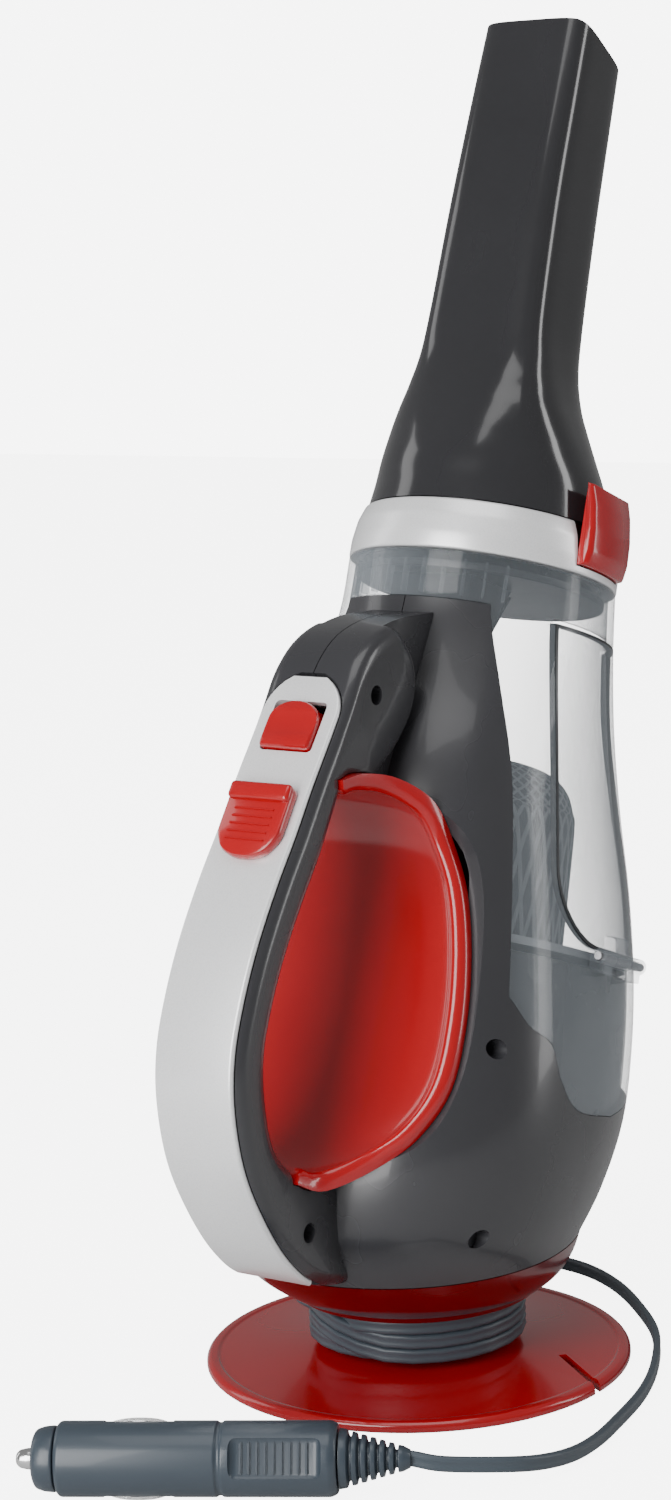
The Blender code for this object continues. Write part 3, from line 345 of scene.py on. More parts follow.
# the profile is (radius, height) points; a ring's last point joins its first
def lathe(name, profile, matrix=None, steps=None, ring=False):
    steps = steps or roundSteps
    bm = bmesh.new()
    surface = bm.loops.layers.uv.new("surface")
    circles = []
    for radius, height in profile:
        if radius < 1e-6:
            circles.append([bm.verts.new((0.0, 0.0, height * mm))])
        else:
            circles.append([bm.verts.new((radius * mm * math.cos(2 * math.pi * k / steps),
                                          radius * mm * math.sin(2 * math.pi * k / steps), height * mm))
                            for k in range(steps)])
    rows = len(circles) if ring else len(circles) - 1
    for row in range(rows):
        low, high = circles[row], circles[(row + 1) % len(circles)]
        if len(low) == 1 and len(high) == 1:
            continue
        for k in range(steps):
            j = (k + 1) % steps
            if len(low) == 1:
                corners, spots = (low[0], high[j], high[k]), ((k, row), (k + 1, row + 1), (k, row + 1))
            elif len(high) == 1:
                corners, spots = (low[k], low[j], high[0]), ((k, row), (k + 1, row), (k, row + 1))
            else:
                corners = (low[k], low[j], high[j], high[k])
                spots = ((k, row), (k + 1, row), (k + 1, row + 1), (k, row + 1))
            face = bm.faces.new(corners)
            for loop, (u, v) in zip(face.loops, spots):
                loop[surface].uv = (u / steps, v / rows)
    return linked(name, bm, matrix)


def block(name, low, high, matrix=None, bevel=0.0, segments=3):     # a box with rounded edges
    bm = bmesh.new()
    bmesh.ops.create_cube(bm, size=1.0)
    for vertex in bm.verts:
        for axis in range(3):
            share = vertex.co[axis] + 0.5
            vertex.co[axis] = (low[axis] + (high[axis] - low[axis]) * share) * mm
    if bevel:
        bmesh.ops.bevel(bm, geom=bm.edges[:], offset=bevel * mm, segments=segments, affect="EDGES",
                        profile=0.5, clamp_overlap=True)
    return linked(name, bm, matrix)


def rod(name, radius, low, high, matrix=None, steps=48):
    return lathe(name, [(0.0, low), (radius, low), (radius, high), (0.0, high)], matrix, steps)


def slab(name, outline, low, high, lean=False):     # a side-view outline given a thickness across
    return skin(name, [[toolPoint(u, y, w) if lean else (u, y, w) for u, w in outline]
                       for y in (low, high)])


def settled(piece):     # the mesh after the piece's modifiers
    bpy.context.view_layer.update()
    graph = bpy.context.evaluated_depsgraph_get()
    return bpy.data.meshes.new_from_object(piece.evaluated_get(graph))


def carve(piece, tools, operation="DIFFERENCE"):     # each tool is used up
    for cutter in tools:
        step = piece.modifiers.new(cutter.name, "BOOLEAN")
        step.operation = operation
        step.object = cutter
        step.solver = "EXACT"
    mesh = settled(piece)
    piece.modifiers.clear()
    piece.data = mesh
    for cutter in tools:
        bpy.data.objects.remove(cutter)
    return piece


def joined(name, pieces):     # several finished meshes as one piece
    bm = bmesh.new()
    for piece in pieces:
        bm.from_mesh(piece.data)
    for piece in pieces:
        bpy.data.objects.remove(piece)
    return linked(name, bm, recalc=False)


def finish(piece, body, look, cad=(), sharp=32.0):
    mesh = piece.data
    mesh.materials.clear()
    mesh.materials.append(looks[look])
    mesh.polygons.foreach_set("material_index", [0] * len(mesh.polygons))
    mesh.polygons.foreach_set("use_smooth", [True] * len(mesh.polygons))
    mesh.set_sharp_from_angle(angle=math.radians(sharp))
    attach(piece, body)
    if cad:
        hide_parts(*cad)
    return piece


def looksOnly(node, look):     # a CAD node whose shape is right gets its finish
    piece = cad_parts[node]
    piece.data.materials.clear()
    piece.data.materials.append(looks[look])


# one tree lays bars on an arc, or in a line when the turn for each bar is zero
def barTree():
    tree = bpy.data.node_groups.new("bar_row", "GeometryNodeTree")
    wanted = (("Count", "NodeSocketInt"), ("Radius", "NodeSocketFloat"), ("Start", "NodeSocketFloat"),
              ("Turn", "NodeSocketFloat"), ("Rise", "NodeSocketFloat"), ("Size", "NodeSocketVector"),
              ("Material", "NodeSocketMaterial"))
    tree.interface.new_socket("Geometry", in_out="INPUT", socket_type="NodeSocketGeometry")
    for label, kind in wanted:
        tree.interface.new_socket(label, in_out="INPUT", socket_type=kind)
    tree.interface.new_socket("Geometry", in_out="OUTPUT", socket_type="NodeSocketGeometry")
    given = addNode(tree, "NodeGroupInput")
    index = addNode(tree, "GeometryNodeInputIndex")
    turned = addNode(tree, "ShaderNodeMath", {0: (index, 0), 1: (given, "Turn"), 2: (given, "Start")},
                     operation="MULTIPLY_ADD")
    height = addNode(tree, "ShaderNodeMath", {0: (index, 0), 1: (given, "Rise")}, operation="MULTIPLY")
    cosine = addNode(tree, "ShaderNodeMath", {0: (turned, 0)}, operation="COSINE")
    sine = addNode(tree, "ShaderNodeMath", {0: (turned, 0)}, operation="SINE")
    x = addNode(tree, "ShaderNodeMath", {0: (cosine, 0), 1: (given, "Radius")}, operation="MULTIPLY")
    y = addNode(tree, "ShaderNodeMath", {0: (sine, 0), 1: (given, "Radius")}, operation="MULTIPLY")
    spot = addNode(tree, "ShaderNodeCombineXYZ", {0: (x, 0), 1: (y, 0), 2: (height, 0)})
    dots = addNode(tree, "GeometryNodePoints", {"Count": (given, "Count"), "Position": (spot, 0)})
    bar = addNode(tree, "GeometryNodeMeshCube", {"Size": (given, "Size")})
    facing = addNode(tree, "ShaderNodeCombineXYZ", {2: (turned, 0)})
    laid = addNode(tree, "GeometryNodeInstanceOnPoints", {"Points": (dots, 0), "Instance": (bar, 0),
                                                          "Rotation": (facing, 0)})
    real = addNode(tree, "GeometryNodeRealizeInstances", {"Geometry": (laid, 0)})
    coloured = addNode(tree, "GeometryNodeSetMaterial", {"Geometry": (real, 0),
                                                         "Material": (given, "Material")})
    addNode(tree, "NodeGroupOutput", {0: (coloured, 0)})
    return tree


bars = barTree()


def barRow(name, matrix, look, count, radius, start, turn, rise, size, bevel=0.0):
    holder = shown(bpy.data.objects.new(name, bpy.data.meshes.new(name)))
    step = holder.modifiers.new("bars", "NODES")
    step.node_group = bars
    given = {"Count": count, "Radius": radius * mm, "Start": math.radians(start),
             "Turn": math.radians(turn), "Rise": rise * mm, "Size": [s * mm for s in size],
             "Material": looks[look]}
    for item in bars.interface.items_tree:
        if item.in_out == "INPUT" and item.name in given:
            step[item.identifier] = given[item.name]
    mesh = settled(holder)
    bpy.data.objects.remove(holder)
    bm = bmesh.new()
    bm.from_mesh(mesh)
    if bevel:
        bmesh.ops.bevel(bm, geom=bm.edges[:], offset=bevel * mm, segments=2, affect="EDGES",
                        clamp_overlap=True)
    return linked(name, bm, matrix, recalc=False)


# the cord is a flat twin lead wound on the hub, with a free run to the plug
cord = {"width": 4.6, "thick": 2.4, "layers": 8, "rows": 3, "perTurn": 24, "startTurn": 135.0,
        "rowTop": 20.6, "firstRadius": 15.9, "core": 20,
        "exit": (-13.0, 13.0, 23.3),
        "run": [(0.0, 37.0, 13.5), (14.0, 38.0, 12.8), (30.0, 38.5, 11.0), (46.0, 38.0, 8.6),
                (62.0, 35.5, 6.2), (76.0, 30.0, 4.0), (87.0, 20.0, 2.7), (91.0, 6.0, 2.4),
                (88.0, -11.0, 2.4), (78.0, -28.0, 2.4), (62.0, -45.0, 2.4), (44.0, -60.0, 2.4),
                (21.0, -72.0, 2.4), (-2.0, -80.0, 2.4), (-27.0, -84.5, 2.4), (-42.0, -86.5, 2.8),
                (-56.0, -87.0, 4.0), (-69.0, -85.0, 6.0), (-80.0, -80.0, 8.2)]}
plug = {"tip": (-149.0, 39.0), "heading": math.radians(-61.5), "height": 11.5, "radius": 10.5,
        "length": 79.0, "relief": 20.0, "nose": 5.0, "front": 12.0,
        "contacts": (("upper", 70.0), ("lower", 250.0)), "grips": (-22.0, 158.0)}
plugTip = Vector((*plug["tip"], plug["height"]))
plugAhead = Vector((math.cos(plug["heading"]), math.sin(plug["heading"]), 0.0))     # tip to cord


def windingPoints():
    points = []
    laps = cord["rows"]
    rows = [cord["rowTop"] - cord["width"] * k for k in range(laps)]
    level, direction = 0, 1
    angle = math.radians(cord["startTurn"])
    for layer in range(cord["layers"]):
        for lap in range(laps):
            for k in range(cord["perTurn"]):
                share = k / cord["perTurn"]
                ease = max(0.0, (share - 0.8) / 0.2)
                ease = ease * ease * (3 - 2 * ease)
                here, there, out = rows[level], rows[level], 0.0
                if lap < laps - 1:
                    there = rows[level + direction]
                else:
                    out = cord["thick"]
                radius = cord["firstRadius"] + cord["thick"] * layer + out * ease
                z = here + (there - here) * ease
                turn = angle - 2 * math.pi * share
                points.append(Vector((radius * math.cos(turn), radius * math.sin(turn), z)))
            if lap < laps - 1:
                level += direction
        direction = -direction
    return points


def cordPoints():
    wound = windingPoints()
    keep = wound[:-2]
    end = plugTip + plugAhead * (plug["front"] + plug["length"] + plug["relief"] + 0.3)
    leadIn = end + plugAhead * 9.0 - Vector((0.0, 0.0, 1.6))
    radius = cord["firstRadius"] + cord["thick"] * (cord["layers"] - 1) + 2.6
    bridge = []
    for turn, grow, z in ((126.0, 0.0, 20.4), (114.0, 0.5, 19.0), (102.0, 1.4, 16.8)):
        turn = math.radians(turn)
        bridge.append(Vector(((radius + grow) * math.cos(turn), (radius + grow) * math.sin(turn), z)))
    free = catmull([keep[-1]] + bridge + list(cord["run"]) + [leadIn, end], 5)
    inside = [end - plugAhead * step for step in (10.0, 22.0, 34.0, 44.0)]
    return keep[:-1] + free + inside


def flatTwin(name, points):     # two round cores side by side with a groove between, stood on edge
    outline = []
    half, thick = cord["width"] / 2, cord["thick"] / 2
    for k in range(cord["core"]):
        angle = 2 * math.pi * k / cord["core"]
        up = math.sin(angle) * half
        out = math.copysign(1.0, math.cos(angle)) if abs(math.cos(angle)) > 1e-6 else 0.0
        if abs(up) > half - thick:
            depth = math.sqrt(max(0.0, 1.0 - ((abs(up) - (half - thick)) / thick) ** 2)) * thick
        else:
            depth = thick * (0.72 + 0.28 * (abs(up) / (half - thick)) ** 1.5)
        outline.append((out * depth, up))
    rings = []
    for i, point in enumerate(points):
        ahead = runAt(points, i)
        side = ahead.cross(Vector((0.0, 0.0, 1.0))).normalized()
        up = side.cross(ahead)
        rings.append([point + side * a + up * b for a, b in outline])
    return skin(name, rings)


def makeCord():
    points = cordPoints()
    lead = flatTwin("flat_cord", points)
    length = sum((b - a).length for a, b in zip(points, points[1:])) * mm
    finish(lead, "body", "cord", ("cord_winding", "cord_free"), 60.0)
    print("cord length", round(length, 3), "points", len(points))
    return lead, [tuple(p * mm) for p in points], length


flatCord, cordPath, cordLength = makeCord()
print("cord made")


def makePlug():
    axis = Matrix.Translation(plugTip * mm) @ plugAhead.to_track_quat("Z", "Y").to_matrix().to_4x4()
    nose, front, radius = plug["nose"], plug["front"], plug["radius"]

    def facing(turn):
        return axis @ Matrix.Rotation(math.radians(turn), 4, "Z")

    back = front + plug["length"]
    shape = [(0.0, back - 0.1), (9.6, back - 0.1), (radius, back - 2.0), (radius, front + 47.0),
             (radius - 0.5, front + 46.4), (radius - 0.5, front + 45.6), (radius, front + 45.0),
             (radius, front + 1.0), (radius - 1.0, front), (5.4, front), (5.4, front + 56.0),
             (0.0, front + 56.0)]
    body = lathe("plug_body_shell", filleted(shape, 0.7, 3), axis)
    tools = []
    for name, turn in plug["contacts"]:
        tools.append(block("contactSlot", (4.0, -2.6, front + 13.0), (14.0, 2.6, front + 33.0),
                           facing(turn), 0.6))
    for turn in plug["grips"]:     # flats for finger and thumb
        tools.append(block("gripFlat", (radius - 2.2, -6.4, front + 49.0),
                           (radius + 6.0, 6.4, back - 4.0), facing(turn), 2.4, 5))
    finish(carve(body, tools), "body", "slate", ("plug_body",))
    ribs = []
    for turn in plug["grips"]:
        seat = facing(turn) @ Matrix.Translation(Vector((radius - 2.1, 0.0, front + 52.5)) * mm)
        ribs.append(barRow("gripRib", seat, "slate", 9, 0.0, 0.0, 0.0, 2.3, (1.0, 9.0, 1.0), 0.35))
    finish(joined("plug_grip_ribs", ribs), "body", "slate")
    collar = [(9.3, front - 0.3), (9.0, nose + 3.4), (8.2, nose + 1.0), (6.2, nose), (3.4, nose),
              (3.4, front - 0.3)]
    finish(lathe("plug_nose_cap", filleted(collar, 0.9, 4, True), axis, ring=True), "body", "slate",
           ("plug_nose",))
    pin = [(0.0, front + 6.0), (4.6, front + 6.0), (4.6, front + 0.6), (3.0, front + 0.6),
           (3.0, 3.4), (2.5, 1.2), (1.5, 0.2), (0.0, 0.0)]
    finish(lathe("plug_tip_pin", filleted(pin, 0.5, 4), axis), "contact_pin", "chrome",
           ("plug_tip",))
    for name, turn in plug["contacts"]:
        arch = catmull([(8.2, 0.0, 14.0), (9.8, 0.0, 14.6), (10.9, 0.0, 18.0), (11.25, 0.0, 23.0),
                        (10.9, 0.0, 28.0), (9.8, 0.0, 31.4), (8.2, 0.0, 32.0)], 4)
        section = ((-1.7, 0.0), (1.7, 0.0), (1.7, -0.9), (-1.7, -0.9))
        rings = [[(p.x + t, y, front + p.z) for y, t in section] for p in arch]
        leaf = skin("plug_side_contact_" + name, rings, facing(turn))
        finish(leaf, "side_contact_" + name, "chrome", ("plug_contact_" + name,))
    start = back + 0.3
    sleeve = [(0.0, start), (8.4, start), (8.0, start + 2.2)]
    for k in range(6):
        low, reach = start + 3.4 + 2.55 * k, 7.4 - 0.72 * k
        sleeve += [(reach - 1.3, low - 0.6), (reach - 1.3, low), (reach, low + 0.2),
                   (reach - 0.25, low + 1.5)]
    sleeve += [(2.5, start + plug["relief"] - 0.3), (0.0, start + plug["relief"] - 0.3)]
    finish(lathe("cord_strain_relief", filleted(sleeve, 0.25, 2), axis), "body", "slate",
           ("plug_strain_relief",))


makePlug()
print("plug made")


base = {"radius": 66.0, "rim": 3.0, "rise": 5.0, "hub": 14.0, "hubTop": 23.2, "notch": 2.6,
        "capWall": 2.6}
capSections = [(0.0, 23.6, 0.0, 37.0, 37.0, 37.0, 2.0), (-0.5, 26.8, 0.0, 42.5, 42.0, 42.0, 2.0),
               (-2.0, 31.0, 0.0, 49.0, 47.0, 47.0, 2.0), (-4.0, 36.0, 0.0, 55.0, 51.0, 50.5, 2.0),
               (-6.0, 41.7, 0.0, 59.0, 54.0, 53.0, 2.0)]


def sectionRing(section, inset, count):
    x, z, lean, front, rear, half, square = section
    lean = math.radians(lean)
    ring = []
    for k in range(count):
        angle = 2 * math.pi * k / count
        c, s = math.cos(angle), math.sin(angle)
        power = 2.0 if c > 0 else square
        out = squared(c, power) * ((front if c > 0 else rear) - inset)
        side = squared(s, power) * (half - inset)
        ring.append((x + out * math.cos(lean), side, z - out * math.sin(lean)))
    return ring


def makeBase():
    rim = base["radius"]
    top = base["rim"] + base["rise"]
    disc = [(2.4, base["hubTop"]), (base["hub"], base["hubTop"]), (base["hub"], top),
            (rim - 4.2, base["rim"] + 0.1), (rim - 3.4, base["rim"] + 0.5), (rim - 1.2, base["rim"] + 0.4),
            (rim, base["rim"] - 0.8), (rim, 0.6), (rim - 0.7, 0.0), (4.4, 0.0), (4.4, 3.6), (2.4, 3.6)]
    plate = lathe("base_plate", filleted(disc, 0.6, 3, True), steps=roundSteps * 2, ring=True)
    slot = Matrix.Translation(Vector((2.5, -57.0, 0.0)) * mm)
    slot = slot @ Matrix.Rotation(math.radians(-124.0), 4, "Z")
    half = base["notch"] / 2
    cut = block("notch", (-13.5, -half, -5.0), (30.0, half, 15.0), slot)
    finish(carve(plate, [cut]), "body", "red", ("base_disc",))

    count = 160
    rows = smoothRows(capSections, 4)
    lip = [(0.0, 23.6, 0.0, 36.4, 36.4, 36.4, 2.0), (0.0, 23.9, 0.0, 38.2, 38.2, 38.2, 2.0),
           (0.0, 25.0, 0.0, 39.4, 39.2, 39.2, 2.0), (-0.2, 26.0, 0.0, 40.0, 39.8, 39.8, 2.0),
           (-0.3, 26.4, 0.0, 41.6, 41.2, 41.2, 2.0)]
    rings = [sectionRing(row, 0.0, count) for row in lip + rows[4:]]
    cap = skin("end_cap_shell", rings)
    hollow = [sectionRing(row, base["capWall"], count) for row in rows[4:]]
    hollow.append([(x, y, z + 3.0) for x, y, z in hollow[-1]])
    place = Matrix.Translation(Vector((cord["exit"][0], cord["exit"][1], 0.0)) * mm)
    tools = [skin("capHollow", hollow), rod("capPilot", 2.3, 20.0, 30.0),
             rod("capGland", 4.1, 20.0, 30.0, place)]
    # the end cap gets the darker copy of the red, which is painted shade
    finish(carve(cap, tools), "body", "redPaintedShade", ("end_cap",))
    looksOnly("base_screw", "darkSteel")
    gland = [(5.2, 28.6), (5.2, 27.0), (3.7, 27.0), (3.7, 23.4), (1.6, 23.4), (1.6, 28.6)]
    finish(lathe("cord_gland", filleted(gland, 0.3, 2, True), place, 32, True), "body", "rubber",
           ("cord_grommet",))


makeBase()
print("base made")


# each section: middle x and z, lean in degrees, reach to the front and to the rear, half width,
# and how square its rear is
bodySections = [
    (-6.0, 42.0, 0.0, 59.0, 54.0, 53.0, 2.0), (-3.0, 56.0, 3.0, 66.0, 63.0, 58.0, 2.3),
    (3.0, 76.0, 6.0, 70.0, 66.5, 61.8, 2.6), (10.0, 98.0, 9.0, 70.5, 67.0, 61.5, 2.6),
    (18.0, 122.0, 12.0, 69.5, 65.0, 58.5, 2.6), (26.0, 148.0, 15.0, 65.0, 62.0, 54.0, 2.6),
    (34.0, 174.0, 17.0, 55.5, 58.0, 49.0, 2.6), (41.5, 198.0, 18.7, 46.5, 50.0, 45.5, 2.3),
    (47.5, 220.0, 20.0, 43.0, 44.0, 43.2, 2.0), (52.0, 237.5, 20.0, 42.0, 42.0, 42.0, 2.0)]
barPairs = [
    ((-56.0, 42.3), (-45.0, 60.0)), ((-74.0, 47.5), (-57.0, 70.0)), ((-87.0, 58.0), (-67.0, 79.0)),
    ((-98.0, 73.0), (-81.0, 83.0)), ((-106.5, 90.0), (-91.5, 93.0)), ((-110.0, 108.0), (-95.0, 108.0)),
    ((-109.0, 123.0), (-94.5, 121.0)), ((-104.0, 137.0), (-90.5, 132.0)),
    ((-96.0, 152.0), (-83.5, 145.0)), ((-85.5, 167.0), (-73.5, 159.0)),
    ((-75.0, 180.0), (-63.5, 171.5)), ((-66.0, 192.0), (-56.5, 182.0)), ((-57.0, 203.0), (-50.0, 191.0)),
    ((-49.0, 213.0), (-43.0, 189.5)), ((-41.0, 223.5), (-33.0, 186.0)), ((-30.0, 230.5), (-20.0, 179.0)),
    ((-14.0, 233.5), (-6.0, 180.0)), ((6.0, 233.0), (8.0, 190.0))]
linerFace = [
    (-55.0, 190.0, 17.0), (-46.0, 190.5, 17.5), (-35.0, 187.5, 20.0), (-26.0, 180.0, 24.5),
    (-22.5, 169.0, 28.0), (-24.5, 156.0, 33.5), (-30.5, 139.0, 38.0), (-38.5, 120.0, 40.5),
    (-47.0, 103.0, 40.0), (-55.0, 91.0, 34.0), (-64.0, 83.0, 25.0), (-75.0, 79.5, 18.0),
    (-84.0, 83.5, 16.5)]
bowlFoot = [(-24.2, 126.0), (-20.0, 116.5), (-13.0, 109.5), (-11.0, 98.0), (-4.0, 87.5),
            (16.0, 80.5), (100.0, 74.0)]
body = {"wall": 2.6, "thickWall": 5.6, "barHalf": 15.5, "stripHalf": 13.2, "seat": -117.0, "spine": -33.5,
        "collar": 15.0, "bowlWall": 2.2, "liner": 2.6,
        "screws": [(-34.0, 214.0, 15.5), (-32.0, 112.0, 50.0), (-41.0, 57.0, 50.0),
                   (-79.0, 65.0, 15.5)]}
controls = {"proud": 0.7, "depth": 1.3, "buttonHeight": 207.0, "sliderHeight": 181.0,
            "strip": (48.2, 221.0), "recess": (46.5, 221.6),
            "window": ((-9.0, -8.25, -8.0), (9.0, 8.25, 4.0)),
            "slot": ((-5.4, -6.0, -8.0), (5.4, 11.0, 4.0))}


def egg(name, insets, stretch=0.0, count=None, steps=None):
    count = count or (144)
    steps = steps or (5)
    rows = smoothRows([tuple(s) + (inset,) for s, inset in zip(bodySections, insets)], steps)
    rings = [sectionRing(row[:7], row[7], count) for row in rows]
    if stretch:
        first = [(x, y, z - stretch) for x, y, z in rings[0]]
        rise = Vector((math.sin(tool["lean"]), 0.0, math.cos(tool["lean"]))) * stretch
        rings = [first] + rings + [[tuple(Vector(p) + rise) for p in rings[-1]]]
    return skin(name, rings)


def barRing(outer, inner, half, corner, outerInset=0.0, innerInset=0.0, steps=6):
    outer, inner = Vector(outer), Vector(inner)
    run = (outer - inner).normalized()
    outer = outer - run * outerInset
    inner = inner + run * innerInset
    depth, middle = (outer - inner).length / 2, (outer + inner) / 2
    ring = []
    for quadrant, (front, side) in enumerate(((1, 1), (-1, 1), (-1, -1), (1, -1))):
        for step in range(steps + 1):
            angle = math.radians(90 * quadrant + 90 * step / steps)
            n = front * (depth - corner) + corner * math.cos(angle)
            y = side * (half - corner) + corner * math.sin(angle)
            place = middle + run * n
            ring.append((place.x, y, place.y))
    return ring


def barRings(pairs, half, corner, outerInset=0.0, innerInset=0.0, steps=4):
    outer = catmull([Vector(o) for o, i in pairs], steps)
    inner = catmull([Vector(i) for o, i in pairs], steps)
    return [barRing(o, i, half, corner, outerInset, innerInset) for o, i in zip(outer, inner)]


outerPath = catmull([Vector(o) for o, i in barPairs], 8)


def stripFrame(height):     # local X across, Y up the bar, Z outwards
    spots = range(1, len(outerPath) - 1)
    near = min(spots, key=lambda i: abs(outerPath[i].y - height) + (outerPath[i].x > -40) * 99)
    tangent = runAt(outerPath, near)
    normal, point = leftOf(tangent), outerPath[near]
    return Matrix(((0.0, tangent.x, normal.x, point.x * mm), (-1.0, 0.0, 0.0, 0.0),
                   (0.0, tangent.y, normal.y, point.y * mm), (0.0, 0.0, 0.0, 1.0)))


def stripBand(name, outline, low, high):     # outline is (sideways, outwards) points; the top is arched
    rings, arch = [], 11.0
    for i in range(1, len(outerPath) - 1):
        if low <= outerPath[i].y <= high and outerPath[i].x < -41:
            normal = leftOf(runAt(outerPath, i))
            climb = min(1.0, max(0.0, (outerPath[i].y - high + arch) / arch))
            ring = []
            for side, out in outline:
                p = outerPath[i] + normal * out
                ring.append((p.x, side * max(0.3, math.sqrt(1.0 - climb ** 2)), p.y))
            rings.append(ring)
    return skin(name, rings)


def bowlZone(name, grow):
    top, face = -body["collar"] - grow, body["spine"] - grow
    outline = [toolPoint(-80.0, 0.0, top), toolPoint(face, 0.0, top)]
    outline = [(p.x, p.z) for p in outline]
    foot = catmull([Vector(p) for p in bowlFoot[:-1]], 6) + [Vector(bowlFoot[-1])]
    outline += [(p.x - 0.7 * grow, p.y - 0.7 * grow) for p in foot]
    return slab(name, outline + [(120.0, 330.0), (-40.0, 330.0)], -95.0, 95.0)


def belowLevel(name, level):
    return slab(name, [(-130, level - 90), (150, level - 90), (150, level), (-130, level)], -99, 99, True)


def linerLine(offset, steps):
    face = catmull([Vector(row[:2]) for row in linerFace], steps)
    return [point + leftOf(runAt(face, i)) * offset for i, point in enumerate(face)]


def barEnd(name, offset):     # a rounded cheek where the bar meets the body, then a narrower neck
    arc = [(-24.0, 300.0), (-24.0, 240.0), (-17.5, 230.0), (-12.0, 222.5), (-10.6, 214.5), (-14.0, 205.0),
           (-23.0, 196.5), (-34.0, 190.0), (-43.0, 184.0), (-50.0, 172.0), (-54.0, 140.0), (-50.0, 110.0),
           (-30.0, 90.0), (-20.0, 60.0), (-20.0, -20.0), (-60.0, -30.0)]
    outline = catmull(arc, 5) + [Vector((-150.0, -30.0)), Vector((-150.0, 300.0))]
    edge, half, count = 3.6, body["barHalf"] + offset, len(outline)

    def grown(by):
        ring = []
        for i, p in enumerate(outline):
            run = (outline[(i + 1) % count] - outline[i - 1]).normalized()
            ring.append(p + leftOf(run) * by)
        return ring

    side = [(half + 3.0, -edge)]
    for k in range(7):
        turn = math.radians(15.0 * k)
        side.append((half - edge * (1.0 - math.cos(turn)), edge * (math.sin(turn) - 1.0)))
    rings = [[(p.x, y, p.y) for p in grown(by + offset)] for y, by in side]
    rings += [[(x, -y, z) for x, y, z in ring] for ring in reversed(rings)]
    neck = block("neck", (-90.0, -10.6 - offset, 120.0), (60.0, 10.6 + offset, 300.0))
    return carve(skin(name, rings), [neck], "UNION")


def makeBody():
    gap = tool["gap"]
    bar = skin("bar", barRings(barPairs, body["barHalf"], 4.6))
    carve(bar, [barEnd("cheek", 0.0)], "INTERSECT")
    shell = carve(egg("shell", [0.0] * 10), [bar], "UNION")
    thin = [body["wall"]] * 2 + [body["thickWall"]] * 3 + [body["wall"]] * 5
    cavity = egg("cavity", thin, 3.0, 48, 1)
    keepOut = bowlZone("zoneWall", gap / 2 + 2.4)
    carve(keepOut, [belowLevel("underSeatWall", body["seat"] - 2.4)])
    carve(cavity, [keepOut])
    hollow = skin("barCavity", barRings(barPairs[1:-1], body["barHalf"] - 2.4, 2.8, 3.6, 2.4, 1))
    carve(cavity, [carve(hollow, [barEnd("cheekWall", -1.0)], "INTERSECT")], "UNION")
    carve(cavity, [rod("boss", 4.4, -80.0, 80.0, sideFrame(x, z), 24) for x, z, reach in body["screws"]])
    carve(shell, [cavity])
    chamber = carve(bowlZone("chamber", gap / 2), [belowLevel("underSeat", body["seat"])])
    skirt = carve(bowlZone("skirt", gap / 2), [egg("core", [body["bowlWall"] + 2 * gap] * 10, 1.0, 96, 3)])
    back = linerLine(body["liner"] + gap, 4)
    inner = [(-86.0, 92.0), (-89.0, 106.0), (-89.0, 120.0), (-84.5, 132.0), (-77.0, 146.0),
             (-67.0, 160.0), (-58.0, 172.0), (-54.5, 181.0)]
    away = Vector((-2 * gap, 0.0))
    hole = [back[0] + away] + back + [back[-1] + away] + catmull([Vector(p) for p in inner], 4)
    opening = slab("opening", [(p.x, p.y) for p in hole], -70.0, 70.0)
    air = rod("air", 22.0, -6.0, 6.0, toolFrame(18.0, 0.0, body["seat"]))
    half, depth = body["stripHalf"] + gap, -controls["depth"] - gap
    recess = stripBand("recess", [(half, 4.0), (-half, 4.0), (-half, depth), (half, depth)],
                       *controls["recess"])
    button = block("window", *controls["window"], stripFrame(controls["buttonHeight"]))
    slot = block("slot", *controls["slot"], stripFrame(controls["sliderHeight"]))
    vents = []
    for k in range(5):
        x = -4.0 + 9.0 * k
        vents.append(block("vent", (x - 1.5, 10.0, 54.0), (x + 1.5, 80.0, 70.0), None, 1.2))
    carve(shell, [chamber, skirt])
    carve(shell, [opening, air, recess, button, slot] + vents)
    for side, low, high in (("left", gap / 2, 120.0), ("right", -120.0, -gap / 2)):
        half = twin("body_half_" + side, shell)
        carve(half, [block("space", (-200.0, low, -20.0), (200.0, high, 460.0))], "INTERSECT")
        tools = [rod("hole", 1.9, -12.0, 12.0, sideFrame(x, z), 24) for x, z, reach in body["screws"]]
        if side == "right":
            tools += [rod("head", 2.9, -reach - 12.0, -9.0, sideFrame(x, z), 32)
                      for x, z, reach in body["screws"]]
        carve(half, tools)
        finish(half, "body", "bodyGloss", ("body_shell_" + side,), 28.0)
    bpy.data.objects.remove(shell)
    for k in range(4):
        looksOnly("body_screw_%d" % (k + 1), "darkSteel")


makeBody()
print("body made")


# the finger liner is a dished scoop with a raised rim
scoop = {"rimWidth": 6.0, "rimRise": 2.6, "dish": 1.5, "reach": 3.4}


